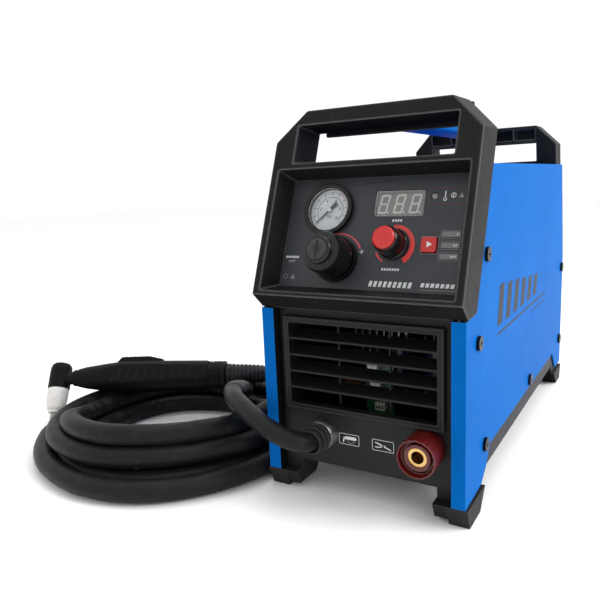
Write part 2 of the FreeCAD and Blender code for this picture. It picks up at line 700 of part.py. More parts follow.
def panel_nuts():
    """The ring nuts of the work socket, the torch gland and the regulator."""
    place = ("regulator_across", "panel_depth-3.6", "regulator_up")
    regulator = ring("regulator_ring", "Y", 17.2, 11.3, 3.6, place)
    nuts = [
        ring("socket_ring_nut", "Y", 15, 10.9, 5, ("socket_across", "front+11", "socket_height")),
        ring("gland_ring_nut", "Y", 13, 8.2, 5, ("gland_across", "front+11", "gland_height")),
        leaning("regulator_nut_placed", [regulator]),
    ]
    return subpart(group("nuts", nuts), "panel_nuts")


def control_board():
    """The board behind the control plate, with the button's switch on it."""
    sheet_board = box("control_pcb", (-14, "panel_depth+14", 10), (86, "board", 80))
    hole = rod("control_pcb_hole", "Y", 9.2, 20, ("knob_across", "panel_depth+2", "knob_up"))
    clear = box("control_pcb_clear", (-15, "panel_depth+2", 9), (10, 20, 46))
    switch = box("switch_base", ("button_across-6", "panel_depth+6.4", "button_up-6"), (12, 8, 12))
    well = rod("switch_well", "Y", 2.2, 8, ("button_across", "panel_depth+3", "button_up"))
    solid = fuse("control_pcb_solid", [sheet_board, switch])
    board = cut("control_pcb_cut", solid, [hole, clear, well])
    return subpart(leaning("control_board_placed", [board]), "control_board")


# ---------------------------------------------------------------- inside the case
def fan():
    """A 92 mm axial fan inside the rear panel, its finger guard and its rotor."""
    x0, y0 = -46, "rear-2.9-25.4"
    block = box("fan_block", (x0, y0, "fan_height-46"), ("fan_side", 25.4, "fan_side"))
    duct = rod("fan_duct", "Y", 44, 40, (0, "rear-40", "fan_height"))
    motor = rod("fan_motor", "Y", 17, 6, (0, "rear-9", "fan_height"))
    arms = [
        box("fan_arm_level", (-45, "rear-6", "fan_height-2"), (90, 2.6, 4)),
        box("fan_arm_upright", (-2, "rear-6", "fan_height-45"), (4, 2.6, 90)),
    ]
    bores = [rod("fan_bearing", "Y", 2.05, 10, (0, "rear-12", "fan_height"))]
    for n, (x, z) in enumerate(CORNERS):
        bores.append(rod("fan_corner_%d" % n, "Y", 2.2, 40, fan_corner(x, z, "rear-35")))
    frame = fuse("fan_body", [cut("fan_shell", block, [duct]), motor] + arms)
    subpart(cut("fan_body_bored", frame, bores), "fan_frame")

    hub = rod("rotor_hub", "Y", 19, 15, (0, "rear-25", "fan_height"))
    pin = rod("rotor_pin", "Y", 2, 20, (0, "rear-25", "fan_height"))
    blades = []
    for n in range(7):
        blade = doc.addObject("Part::Box", "rotor_blade_%d" % n)
        blade.Length, blade.Width, blade.Height = 25.3, 1.6, 14
        spin = Placement(Vector(), Rotation(Vector(0, 1, 0), 360.0 / 7 * n))
        twist = Placement(Vector(17, 0, 0), Rotation(Vector(1, 0, 0), 48))
        blade.Placement = spin * twist * Placement(Vector(0, -0.8, -7), Rotation())
        blades.append(blade)
    fanned = put(fuse("rotor_blades", blades), (0, "rear-17.5", "fan_height"))
    subpart(fuse("rotor", [hub, pin, fanned]), "fan_rotor")

    rings = []
    for n, radius in enumerate((12, 20, 28, 36, 44)):
        place = (0, "rear+0.6", "fan_height")
        rings.append(ring("guard_ring_%d" % n, "Y", radius + 1, radius - 1, 2, place))
    spokes = []
    eyes = []
    for n, (x, z) in enumerate(CORNERS):
        spoke = doc.addObject("Part::Box", "guard_spoke_%d" % n)
        spoke.Length, spoke.Width, spoke.Height = 2.2, 1.3, 43.4
        turn = Placement(Vector(), Rotation(Vector(0, 1, 0), math.degrees(math.atan2(x, z))))
        spoke.Placement = turn * Placement(Vector(-1.1, 0, 12), Rotation())
        reach = spoke.Placement.Base
        spokes.append(put(spoke, (reach.x, "rear-0.6", "fan_height+(%s)" % reach.z)))
        eyes.append(ring("guard_eye_%d" % n, "Y", 4.2, 2.2, 1.3, fan_corner(x, z, "rear-0.6")))
    return subpart(fuse("guard", rings + spokes + eyes), "fan_guard")


def main_board():
    """The power board, on the tray's posts."""
    plate = box("main_pcb", (-66, "front+62", "main_board_height"), (132, 276, "board"))
    return subpart(plate, "main_board")


def heat_sink(label, x):
    """An extruded heat sink: a base and eight fins that run lengthwise."""
    z = "main_board_height+board+14"
    base = box(label + "_base", (x, "front+120", z), (52, 130, 7))
    fins = [box("%s_fin_%d" % (label, n), (x + n * 7.1, "front+120", z), (2.1, 130, 52)) for n in range(8)]
    return fuse(label + "_body", [base] + fins)


def transformer():
    """The main transformer: a ferrite core around a wound coil."""
    z = "main_board_height+board+0.3"
    core = box("core_block", (-36, "front+272", z), (72, 40, 58))
    windows = [
        box("core_window_left", (-24, "front+262", "%s+11" % z), (14, 60, 36)),
        box("core_window_right", (10, "front+262", "%s+11" % z), (14, 60, 36)),
    ]
    subpart(cut("core", core, windows), "transformer_core")
    outer = box("coil_block", (-23.5, "front+259", "%s+11.5" % z), (47, 66, 35))
    outer = rounded("coil_round", outer, 10, along("Z"))
    slot = box("coil_slot", (-10.4, "front+271.4", "%s+5" % z), (20.8, 41.2, 50))
    subpart(cut("coil_wound", outer, [slot]), "transformer_coil")


def output_choke():
    """A toroidal choke standing on the board."""
    ring_core = doc.addObject("Part::Torus", "choke_ring")
    ring_core.Radius1 = 17
    ring_core.Radius2 = 8.5
    put(ring_core, (-40, "front+92", "main_board_height+board+9"))
    return subpart(ring_core, "output_choke")


def capacitors():
    """Four smoothing capacitors, upright on the board."""
    cans = []
    for n in range(4):
        place = (2 + (n % 2) * 36, "front+%d" % (75 + (n // 2) * 29), "main_board_height+board+0.2")
        cans.append(rod("can_%d" % n, "Z", 12.5, 42, place))
    return subpart(group("cans", cans), "bus_capacitors")


def air_circuit():
    """Air path: the barbed inlet at the rear, and the solenoid valve on the left wall with its plunger."""
    inlet = fuse("inlet_solid", [
        taper("inlet_barb_a", "Y", 5.0, 4.0, 6, (2, 22, 60)),
        taper("inlet_barb_b", "Y", 5.0, 4.0, 6, (2, 16, 60)),
        rod("inlet_stem", "Y", 4.0, 14, (2, 4, 60)),
        rod("inlet_hex", "Y", 9, 6, (2, 0.3, 60)),
        rod("inlet_neck", "Y", 6.5, 16, (2, -14, 60)),
    ])
    bore = rod("inlet_bore", "Y", 2.5, 46, (2, -15, 60))
    subpart(leaning("inlet_placed", [cut("inlet_cut", inlet, [bore])], BACK), "air_inlet")

    block = box("valve_block", (-62, "front+255", 176), (24, 34, 24))
    coil = rod("valve_coil", "Z", 13, 30, (-50, "front+272", 199))
    chamber = rod("valve_chamber", "Z", 4.6, 30, (-50, "front+272", 196))
    bracket = box("valve_bracket", (-77.4, "front+258", 186), (16, 28, 3))
    subpart(cut("valve_cut", fuse("valve_solid", [block, coil, bracket]), [chamber]), "solenoid_valve")
    subpart(rod("valve_core", "Z", 4.5, 22, (-50, "front+272", 197)), "valve_plunger")


def routed_tube(name, points, radius):
    """A round tube along straight runs joined by tangent arcs; every arc is as large as its runs allow."""
    route = [Vector(*p) for p in points]
    edges = []
    start = route[0]
    radii = []
    for before, corner, after in zip(route, route[1:], route[2:]):
        into = (corner - before).normalize()
        out = (after - corner).normalize()
        turn = into.getAngle(out)
        reach = 0.45 * min((corner - before).Length, (after - corner).Length)
        radii.append(reach / math.tan(turn / 2))
        first = corner - into * reach
        last = corner + out * reach
        sag = (out - into).normalize() * (radii[-1] / math.cos(turn / 2) - radii[-1])
        edges.append(Part.LineSegment(start, first).toShape())
        edges.append(Part.Arc(first, corner + sag, last).toShape())
        start = last
    edges.append(Part.LineSegment(start, route[-1]).toShape())
    path = Part.Wire(edges)
    circle = Part.Circle(route[0], (route[1] - route[0]).normalize(), radius)
    solid = path.makePipeShell([Part.Wire(circle.toShape())], True, False)
    expected = math.pi * radius ** 2 * path.Length
    print("%s: length %.1f, volume ratio %.4f, radii %s" % (
        name, path.Length, solid.Volume / expected, [round(r) for r in radii]))
    obj = doc.addObject("Part::Feature", name)
    obj.Shape = solid
    return obj


# ---------------------------------------------------------------- torch and its lead
TORCH = Placement(
    Vector(-360, S["front"] + 22, 47.5),
    Rotation(Vector(0, 0, 1), 27.6) * Rotation(Vector(1, 0, 0), -35),
)


def torch():
    """The hand torch in its own frame: +X from the head to the lead, -Z towards the tip."""
    handle = spun(
        "handle_turned",
        [(0, 21), (9.5, 21), (11.5, 30), (14.6, 52), (16.6, 70), (16.2, 110), (15.2, 158), (14.4, 160),
         (0, 160)],
        (0, 0, 0),
        TURNS["X"],
    )
    cheeks = box("handle_cheeks", (18, -14, -20), (150, 28, 40))
    body = doc.addObject("Part::Common", "handle_trimmed")
    body.Base = handle
    body.Tool = cheeks
    slot = box("handle_slot", (58, -5.8, 7.5), (56, 11.6, 20))
    subpart(leaning("handle_placed", [cut("handle_cut", body, [slot])], TORCH), "torch_handle")

    lever = padded(
        "trigger_lever",
        "XZ_Plane",
        [(61, 14.6), (66, 20.5), (96, 20.8), (111, 17.2), (111, 11), (96, 11.2), (74, 12), (61, 12)],
        10.8,
        -5.4,
    )
    subpart(leaning("trigger_placed", [lever], TORCH), "torch_trigger")

    neck = rod("head_neck", "X", 6.8, 22, (-1, 0, 0))
    nut = rod("head_nut", "X", 8.6, 5, (15.8, 0, 0))
    barrel = rod("head_barrel", "Z", 11, 24, (0, 0, -11.5))
    crown = taper("head_crown", "Z", 11, 8, 4, (0, 0, 12.4))
    head = fuse("head_solid", [neck, nut, barrel, crown])
    nozzle_seat = rod("head_seat", "Z", 4.3, 8, (0, 0, -12))
    subpart(leaning("head_placed", [cut("head_cut", head, [nozzle_seat])], TORCH), "torch_head")

    cup = spun(
        "cup_turned",
        [(4.6, -37.5), (6.8, -37.5), (9.2, -28), (10.6, -14.5), (10.6, -11.8), (4.6, -11.8)],
    )
    subpart(leaning("cup_placed", [cup], TORCH), "shield_cup")
    tip = spun("tip_turned", [(0.6, -46), (3.2, -46), (4.2, -43), (4.2, -6), (0.6, -6)])
    subpart(leaning("tip_placed", [tip], TORCH), "cutting_tip")

    collar = ring("collar_sleeve", "X", 14.2, 10.6, 18, (160.3, 0, 0))
    subpart(leaning("collar_placed", [collar], TORCH), "torch_collar")
    boot_profile = [(0, 160.6), (10.2, 160.6), (10.2, 178.6), (12.4, 178.6), (10.2, 220), (0, 220)]
    boot = spun("boot_turned", boot_profile, (0, 0, 0), TURNS["X"])
    subpart(leaning("boot_placed", [boot], TORCH), "torch_boot")


def torch_lead():
    """The lead's two free stretches and the outer shape of its coil."""
    front = S["front"]
    out_route = [
        (-33, front - 7, 50),
        (-33, front - 24, 50),
        (-42, front - 38, 51),
        (-60, front - 37, 53),
        (-82, front - 25, 56.5),
        (-106, front - 4, 58),
        (-130, front + 20, 58),
        (-148, front + 46, 54),
        (-160, front + 74, 43),
        (-175, front + 99, 27),
        (-196, front + 118, 16),
    ]
    radius = S["lead_diameter"] / 2
    subpart(routed_tube("lead_out", out_route, radius), "torch_lead_out")
    end = TORCH.multVec(Vector(220, 0, 0))
    in_route = [
        (end.x, end.y, end.z),
        (end.x + 18.6, end.y + 9.72, end.z),
        (end.x + 42, end.y + 10, 37),
        (end.x + 62, end.y - 6, 27),
        (end.x + 71, end.y - 34, 17),
        (end.x + 69, end.y - 64, 11),
    ]
    subpart(routed_tube("lead_in", in_route, radius), "torch_lead_in")

    centre = Vector(-208, front + 28, 0)
    # Three turns are stacked at the front of the coil; at the back they are spread out and lower.
    stack = Part.makeCylinder(125, 56, centre)
    slope = Placement(Vector(centre.x, front - 97, 56), Rotation(Vector(1, 0, 0), -10))
    above = Part.makeBox(400, 500, 80)
    above.Placement = slope * Placement(Vector(-200, -100, 0), Rotation())
    spread = Part.makeCylinder(125, 29.5, centre)
    coil = doc.addObject("Part::Feature", "coil")
    coil.Shape = stack.cut(above).fuse(spread).cut(Part.makeCylinder(75, 60, centre)).removeSplitter()
    subpart(coil, "torch_lead_coil")


# ---------------------------------------------------------------- rear fittings, in the rear slope's frame
def rear_fittings():
    """The mains gland and the power switch with its rocker."""
    x, z = 42, 60
    gland = fuse("mains_solid", [
        rod("mains_hex", "Y", 13, 6, (x, 0.3, z)),
        taper("mains_dome", "Y", 12, 8.5, 16, (x, 6.3, z)),
        rod("mains_neck", "Y", 10, 16, (x, -15, z)),
    ])
    bore = rod("mains_bore", "Y", 4.5, 44, (x, -16, z))
    subpart(leaning("mains_placed", [cut("mains_cut", gland, [bore])], BACK), "mains_gland")

    shell = fuse("switch_solid", [
        box("switch_shell", (-58, -22, 48.2), (22, 23, 30)),
        box("switch_rim", (-60, 0.2, 46), (26, 2, 34.4)),
    ])
    well = box("switch_opening", (-56, -17, 50), (18, 24, 26.4))
    subpart(leaning("switch_shell_placed", [cut("switch_shell_cut", shell, [well])], BACK), "switch_housing")
    rocker = padded(
        "rocker_side",
        "YZ_Plane",
        [(-9, 57), (-9, 69.4), (0.4, 74.4), (4.2, 74.4), (1.0, 63.2), (1.05, 50.5), (-2.4, 51)],
        17.4,
        -55.7,
    )
    subpart(leaning("rocker_placed", [rocker], BACK), "power_rocker")


# ---------------------------------------------------------------- assembly
side_panel("side_panel_left", -1)
side_panel("side_panel_right", 1)
top_cover()
carry_rail()
front_bezel()
rear_frame()
rear_panel()
base_tray()
for end, at_rear in (("front", False), ("rear", True)):
    pair = [foot(end + "_foot_left", -1, at_rear), foot(end + "_foot_right", 1, at_rear)]
    subpart(group(end + "_pair", pair), end + "_feet")
case_screws()
front_panel()
louvre_grille()
work_socket()
torch_gland()
control_plate()
pressure_gauge()
display()
panel_lights()
test_button()
current_control()
air_regulator()
panel_nuts()
control_board()
fan()
main_board()
subpart(group("sinks", [heat_sink("switch_sink", -60), heat_sink("rectifier_sink", 8)]), "heat_sinks")
transformer()
output_choke()
capacitors()
air_circuit()
rear_fittings()
torch()
torch_lead()

doc.recompute()
failed = [obj.Name for obj in doc.Objects if "Invalid" in obj.State or "Error" in obj.State]
if failed:
    raise RuntimeError("failed objects: %s" % failed)
for obj in SUBPARTS:
    if obj.Shape.isNull() or not obj.Shape.isValid() or not obj.Shape.Solids:
        raise RuntimeError("bad shape: %s" % obj.Label)
for obj in SUBPARTS:
    obj.Shape.exportStep("parts/%s.step" % obj.Label)
print("%d sub-parts written" % len(SUBPARTS))
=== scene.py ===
import math
import random

import bmesh
import bpy
from mathutils import Matrix, Vector, noise


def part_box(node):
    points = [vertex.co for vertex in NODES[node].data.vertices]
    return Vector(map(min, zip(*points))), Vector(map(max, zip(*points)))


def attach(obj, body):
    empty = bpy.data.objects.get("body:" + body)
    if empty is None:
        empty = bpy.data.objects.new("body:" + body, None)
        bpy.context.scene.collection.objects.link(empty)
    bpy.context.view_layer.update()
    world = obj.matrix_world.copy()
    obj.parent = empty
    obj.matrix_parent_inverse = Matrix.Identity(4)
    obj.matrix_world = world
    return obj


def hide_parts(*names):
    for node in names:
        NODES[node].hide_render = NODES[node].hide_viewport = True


# A 40 A inverter plasma cutting machine with its torch. The scene is in metres; pieces are built in
# millimetres in the part's own frames. -Y is the front of the case, +Z is up.

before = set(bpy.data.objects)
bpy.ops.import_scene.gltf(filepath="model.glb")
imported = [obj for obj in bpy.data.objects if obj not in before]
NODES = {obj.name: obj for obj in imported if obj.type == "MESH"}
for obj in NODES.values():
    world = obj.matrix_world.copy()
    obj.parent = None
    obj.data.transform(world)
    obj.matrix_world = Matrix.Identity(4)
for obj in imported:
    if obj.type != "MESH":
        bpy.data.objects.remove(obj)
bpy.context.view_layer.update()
MM = 0.001
SCALE = Matrix.Scale(MM, 4)


# ---------------------------------------------------------------- frames
# In millimetres: the case's two ends and half its width, the lip and the lean of the control face and of the
# back, and the control plate's face, measured into the case from the lip.
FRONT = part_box("side_panel_right")[0].y / MM
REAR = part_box("side_panel_right")[1].y / MM
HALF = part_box("side_panel_right")[1].x / MM
LIP_HEIGHT = 159.4
LEAN = math.radians(21.77)
REAR_BREAK = 142.0
REAR_RIM = 2.6
REAR_LEAN = math.radians(13.87)
PLATE = 19.8
# Where the fittings sit: across and up on the control face, on the front and on the leaning back.
GAUGE = (-35.5, 71.5)
CURRENT_KNOB = (20, 45)
REGULATOR = (-23.8, 33)
GLAND = (-33, 50)
SOCKET = (49.7, 53.5)
MAINS = (42, 60)
ROCKER = -47
FAN_HEIGHT = 86.0
# The front panel's outer face, the main board's top, and the small upright card behind the grille.
PANEL_FACE = FRONT + 9
BOARD_TOP = 63.6
CARD = FRONT + 44
# The side panels wear their blue outside these distances from the middle of the case.
PRIMED_HALF = HALF - 1.2
PRIMED_END = REAR - 1.8

CASE = SCALE
# The control face: X across, Y into the case, Z up the slope, from the lip of the front moulding.
FACE = (
    Matrix.Translation((0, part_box("front_bezel")[0].y, LIP_HEIGHT * MM))
    @ Matrix.Rotation(-LEAN, 4, "X")
    @ SCALE
)
# The leaning back: X across, Y out of the case, Z up the slope.
BACK = (
    Matrix.Translation((0, (REAR + REAR_RIM) * MM, REAR_BREAK * MM))
    @ Matrix.Rotation(REAR_LEAN, 4, "X")
    @ SCALE
)
# The torch: +X from the head to the lead, +Z out of the trigger, -Z towards the tip.
TORCH = (
    Matrix.Translation((-0.360, (FRONT + 22) * MM, 0.0475))
    @ Matrix.Rotation(math.radians(27.6), 4, "Z")
    @ Matrix.Rotation(math.radians(-35), 4, "X")
    @ SCALE
)


def placed(x, y, z):
    """A frame like the case's, with its origin at a spot given in millimetres."""
    return Matrix.Translation((x * MM, y * MM, z * MM)) @ SCALE


# ---------------------------------------------------------------- camera
def add_camera():
    """The photo's view, from the right front and a little below the top of the handle."""
    yaw, pitch, roll = (math.radians(a) for a in (31.451, 10.558, -2.536))
    forward = Vector(
        (-math.sin(yaw) * math.cos(pitch), math.cos(yaw) * math.cos(pitch), -math.sin(pitch))
    )
    level = Vector((math.cos(yaw), math.sin(yaw), 0))
    upright = level.cross(forward)
    right = math.cos(roll) * level + math.sin(roll) * upright
    up = math.cos(roll) * upright - math.sin(roll) * level
    data = bpy.data.cameras.new("camera")
    data.lens = 37.37
    data.sensor_width = 36
    data.clip_start = 0.01
    camera = bpy.data.objects.new("camera", data)
    camera.matrix_world = Matrix.Translation((0.19185, -0.57859, 0.23933)) @ Matrix(
        (right, up, -forward)
    ).transposed().to_4x4()
    bpy.context.scene.collection.objects.link(camera)
    bpy.context.scene.camera = camera


add_camera()


# ---------------------------------------------------------------- torch lead
LEAD_DIAMETER = 18.5
OUT_ROUTE = [
    (GLAND[0], FRONT - 7, GLAND[1]),
    (-33.5, FRONT - 18, 51.5),
    (-41, FRONT - 27, 55.5),
    (-58, FRONT - 26.5, 59.5),
    (-76, FRONT - 20, 63),
    (-99, FRONT - 7, 66),
    (-121, FRONT + 9, 66.5),
    (-137, FRONT + 33, 62),
    (-151, FRONT + 62, 52),
    (-172, FRONT + 94, 38),
    (-196, FRONT + 117, 28),
]
BOOT_END = TORCH @ Vector((220, 0, 0)) / MM
IN_ROUTE = [
    tuple(BOOT_END),
    (BOOT_END.x + 15, BOOT_END.y + 8, BOOT_END.z + 4),
    (BOOT_END.x + 36, BOOT_END.y + 13, BOOT_END.z + 8),
    (BOOT_END.x + 58, BOOT_END.y + 2, 46),
    (BOOT_END.x + 70, BOOT_END.y - 22, 29),
    (BOOT_END.x + 72, BOOT_END.y - 46, 17),
    (BOOT_END.x + 69, BOOT_END.y - 70, 11),
]
# The lead is bare for a short way at both ends, and wears its thick sleeve between.
BARE_RADIUS = 7.5 * MM
BARE_AT_GLAND = 0.128
BARE_AT_TORCH = 0.03
SLEEVE_EDGE = 0.006
COIL_CENTRE = (-208, FRONT + 28)
TURNS = 5
# Where the strands lie round the coil, as radius and height: one pair for each turn, the first turn first.
# From 90 degrees, at the back, a turn goes by the left and the front to 360 degrees, at the right.
STRANDS = {
    90: [(97, 28), (121, 26), (92, 9.3), (111, 9.3), (130, 9.3)],
    135: [(101, 25.5), (121, 25.5), (91, 9.3), (112, 9.3), (131, 9.3)],
    180: [(94, 22.5), (116, 24.5), (82, 9.3), (106, 9.3), (126, 9.3)],
    205: [(93, 28), (112, 25.5), (80, 12), (104, 9.3), (129.5, 9.3)],
    225: [(92, 38), (106, 27), (80, 17), (100, 9.3), (118, 9.5)],
    250: [(91, 44), (100, 28), (80, 23), (96, 9.3), (111.5, 9.8)],
    270: [(90.5, 45), (97, 28.6), (80, 25), (94, 9.3), (112, 9.3)],
    300: [(85, 44.5), (91.5, 28.4), (76, 19), (95, 9.3), (113, 9.3)],
    330: [(85, 43), (92, 27.4), (76, 12), (96, 9.3), (112.5, 9.6)],
    360: [(90, 38.5), (103, 26), (80, 9.6), (98.5, 9.3), (117, 10)],
    390: [(103, 42), (94, 27), (94, 9.3), (112.5, 9.3), None],
    410: [(111, 34), (89, 23), (103.5, 9.3), (122, 9.3), None],
    430: [(117, 27.5), (88.5, 14.5), (108.5, 9.3), (127.5, 9.3), None],
}
COIL_START = 101
COIL_END = 366
COIL_STEP = 17.5


def strand_at(angle):
    """Radius and height of the coil's strand, angle degrees on from its first turn's start."""
    stations = []
    for turn in range(TURNS):
        for station in sorted(STRANDS):
            if STRANDS[station][turn] is not None:
                stations.append((360 * turn + station, STRANDS[station][turn]))
    stations.sort()
    before = max(s for s in stations if s[0] <= angle)
    after = min(s for s in stations if s[0] > angle)
    share = (angle - before[0]) / (after[0] - before[0])
    share = share * share * (3 - 2 * share)
    return [a + (b - a) * share for a, b in zip(before[1], after[1])]


def coil_points():
    """The coil's turns, from the end of the outgoing route to the start of the torch's."""
    points = []
    steps = round((360 * (TURNS - 1) + COIL_END - COIL_START) / COIL_STEP)
    for n in range(steps + 1):
        angle = COIL_START + n * COIL_STEP
        radius, height = strand_at(min(angle, 360 * (TURNS - 1) + 359.9))
        around = math.radians(angle)
        x = COIL_CENTRE[0] + radius * math.cos(around)
        y = COIL_CENTRE[1] + radius * math.sin(around)
        points.append((x, y, height))
    return points


def smooth_line(name, points, per_point):
    """The points of one NURBS spline whose control points are given in millimetres."""
    curve = bpy.data.curves.new(name, "CURVE")
    curve.dimensions = "3D"
    spline = curve.splines.new("NURBS")
    spline.points.add(len(points) - 1)
    for spot, place in zip(spline.points, points):
        spot.co = (*[c * MM for c in place], 1)
    spline.order_u = 3
    spline.use_endpoint_u = True
    spline.resolution_u = per_point
    holder = bpy.data.objects.new(name, curve)
    bpy.context.scene.collection.objects.link(holder)
    bpy.context.view_layer.update()
    line = bpy.data.meshes.new_from_object(holder)
    found = [v.co.copy() for v in line.vertices]
    bpy.data.objects.remove(holder)
    bpy.data.meshes.remove(line)
    return found


# ---------------------------------------------------------------- materials
class Look:
    """A Principled material and short ways to wire its nodes. Sizes are in metres, on the object itself."""

    def __init__(self, name, **sockets):
        self.material = bpy.data.materials.new(name)
        self.material.use_nodes = True
        self.nodes = self.material.node_tree.nodes
        self.links = self.material.node_tree.links
        self.shader = self.nodes["Principled BSDF"]
        self.place = self.nodes.new("ShaderNodeTexCoord").outputs["Object"]
        for socket, value in sockets.items():
            self.shader.inputs[socket.replace("_", " ")].default_value = value

    def node(self, kind, links=None, **settings):
        made = self.nodes.new("ShaderNode" + kind)
        for key, value in settings.items():
            setattr(made, key, value)
        for socket, source in (links or {}).items():
            if isinstance(source, bpy.types.NodeSocket):
                self.links.new(source, made.inputs[socket])
            else:
                made.inputs[socket].default_value = source
        return made

    def stretched(self, scale):
        """The object's coordinates, scaled differently along each axis."""
        return self.node("Mapping", {"Vector": self.place, "Scale": scale}).outputs[0]

    def grain(self, size, detail=3.0, place=None):
        """Noise whose features are about size metres."""
        wiring = {"Vector": place or self.place, "Scale": 1 / size, "Detail": detail, "Roughness": 0.55}
        return self.node("TexNoise", wiring).outputs["Fac"]

    def lines(self, size, direction, distortion):
        wiring = {"Vector": self.place, "Scale": 1 / size / math.tau, "Distortion": distortion}
        return self.node("TexWave", wiring, bands_direction=direction).outputs["Fac"]

    def ranged(self, value, low, high, start=0.0, end=1.0):
        wiring = {"Value": value, "From Min": start, "From Max": end, "To Min": low, "To Max": high}
        return self.node("MapRange", wiring).outputs["Result"]

    def maths(self, operation, a, b):
        return self.node("Math", {0: a, 1: b}, operation=operation).outputs[0]

    def edges(self, radius):
        """1 on sharp edges and 0 on flats."""
        rounded = self.node("Bevel", {"Radius": radius}, samples=4).outputs[0]
        true = self.node("NewGeometry").outputs["Normal"]
        same = self.node("VectorMath", {0: rounded, 1: true}, operation="DOT_PRODUCT").outputs["Value"]
        return self.ranged(same, 1.0, 0.0, 0.9, 0.998)

    def colour(self, value, *stops):
        """Base colour from a ramp: each stop is a place from 0 to 1 and a colour."""
        ramp = self.node("ValToRGB", {"Fac": value})
        elements = ramp.color_ramp.elements
        while len(elements) < len(stops):
            elements.new(0.5)
        for element, (at, shade) in zip(elements, stops):
            element.position = at
            element.color = (*shade, 1)
        return self.tint(ramp.outputs["Color"])

    def tint(self, source):
        self.links.new(source, self.shader.inputs["Base Color"])
        self.base = source
        return self

    def mix_colour_in(self, mask, shade, amount):
        """Mixes a shade into the base colour where the mask is 1."""
        share = self.maths("MULTIPLY", mask, amount)
        mixed = self.node("MixRGB", {"Fac": share, "Color1": self.base, "Color2": (*shade, 1)})
        return self.tint(mixed.outputs["Color"])

    def roughness(self, value, low, high):
        self.links.new(self.ranged(value, low, high), self.shader.inputs["Roughness"])
        return self

    def bump(self, value, depth, strength=1.0):
        wiring = {"Height": value, "Distance": depth, "Strength": strength}
        if self.shader.inputs["Normal"].is_linked:
            wiring["Normal"] = self.shader.inputs["Normal"].links[0].from_socket
        made = self.node("Bump", wiring)
        self.links.new(made.outputs["Normal"], self.shader.inputs["Normal"])
        return self


def blue_paint(name, primed=None):
    """Satin powder coat: slight orange peel, faint tone changes, paler rubbed edges. With primed, half a
    width and half a length in metres, the sheet inside them wears only dark primer."""
    look = Look(name, Specular_IOR_Level=0.06, IOR=1.25)
    look.colour(look.grain(0.06), (0.3, (0.0006, 0.100, 0.375)), (0.7, (0.001, 0.114, 0.415)))
    look.mix_colour_in(look.edges(0.0009), (0.02, 0.21, 0.56), 0.5)
    if primed:
        axes = look.node("SeparateXYZ", {"Vector": look.place}).outputs
        across, along = (
            look.maths("LESS_THAN", look.maths("ABSOLUTE", axes[axis], 0.0), limit)
            for axis, limit in zip("XY", primed)
        )
        look.mix_colour_in(look.maths("MULTIPLY", across, along), (0.006, 0.007, 0.009), 1.0)
    look.roughness(look.grain(0.012), 0.44, 0.54)
    look.bump(look.grain(0.0016, 2), 0.00005, 0.6)
    return look.bump(look.grain(0.0004, 1), 0.00001, 0.5).material


def moulded(name, shade, pale, size, depth, low, high, gloss=0.24, edge=0.0011, **sockets):
    """Spark-textured plastic or rubber: pits of a size and depth, uneven tone, pale edges that are partly
    rubbed wear and partly a painted highlight, a roughness from low to high, and no shine on the faces that
    look down."""
    look = Look(name, Specular_IOR_Level=gloss, **sockets)
    darker = tuple(c * 0.8 for c in shade)
    look.colour(look.grain(0.03, 4), (0.3, darker), (0.7, shade))
    # Paler edges: partly rubbed wear, partly a painted highlight along the edges.
    look.mix_colour_in(look.edges(edge), pale, 0.8)
    look.mix_colour_in(look.ranged(look.grain(0.004, 6), 0, 1, 0.62, 0.8), pale, 0.1)
    look.roughness(look.grain(0.01), low, high)
    look.bump(look.grain(size, 2), depth, 0.8)
    facing = look.node("SeparateXYZ", {"Vector": look.node("NewGeometry").outputs["Normal"]}).outputs["Z"]
    shine = look.ranged(facing, 0.0, gloss, -0.6, -0.3)
    look.links.new(shine, look.shader.inputs["Specular IOR Level"])
    return look.material


def black_sheet():
    """Black powder-coated steel."""
    look = Look("black_sheet", Specular_IOR_Level=0.22)
    look.colour(look.grain(0.02, 4), (0.3, (0.0075, 0.0075, 0.008)), (0.7, (0.0105, 0.0105, 0.011)))
    look.mix_colour_in(look.edges(0.0006), (0.05, 0.05, 0.052), 0.5)
    look.roughness(look.grain(0.008), 0.45, 0.58)
    return look.bump(look.grain(0.0009, 2), 0.00004, 0.7).material


def panel_film():
    """The control plate's printed film: dark grey, satin, with a fine matt grain."""
    look = Look("panel_film", Specular_IOR_Level=0.35)
    look.colour(look.grain(0.05, 3), (0.3, (0.026, 0.029, 0.034)), (0.7, (0.033, 0.037, 0.043)))
    look.roughness(look.grain(0.006, 4), 0.34, 0.46)
    return look.bump(look.grain(0.0003, 2), 0.000012, 0.6).material


def black_gloss():
    """Polished black plastic with a little dust and hairline scratches."""
    look = Look("black_gloss", Specular_IOR_Level=0.32)
    dust = look.ranged(look.grain(0.0011, 8), 0, 1, 0.66, 0.74)
    look.colour(look.grain(0.02), (0.3, (0.003, 0.003, 0.0033)), (0.7, (0.005, 0.005, 0.0055)))
    look.mix_colour_in(dust, (0.08, 0.08, 0.08), 0.3)
    scratches = look.grain(0.002, 4, look.stretched((9, 1, 1)))
    look.roughness(scratches, 0.14, 0.3)
    return look.bump(scratches, 0.000008, 0.5).material


def glossy_colour(name, shade, pale, low=0.22, high=0.34, **sockets):
    """Injection-moulded coloured plastic with flow marks and paler edges."""
    look = Look(name, **sockets)
    darker = tuple(c * 0.86 for c in shade)
    look.colour(look.grain(0.012, 4), (0.3, darker), (0.7, shade))
    look.mix_colour_in(look.edges(0.0005), pale, 0.45)
    look.roughness(look.grain(0.004, 4), low, high)
    return look.bump(look.grain(0.0012, 2), 0.000015, 0.5).material


def metal(name, shade, dull, low, high, brushed=(1, 1, 1), size=0.003):
    """Metal with brushed or blotchy roughness and a slightly tarnished tone."""
    look = Look(name, Metallic=1.0)
    marks = look.grain(size, 5, look.stretched(brushed))
    look.colour(look.grain(0.008, 4), (0.25, dull), (0.75, shade))
    look.roughness(marks, low, high)
    return look.bump(marks, 0.00002, 0.35).material


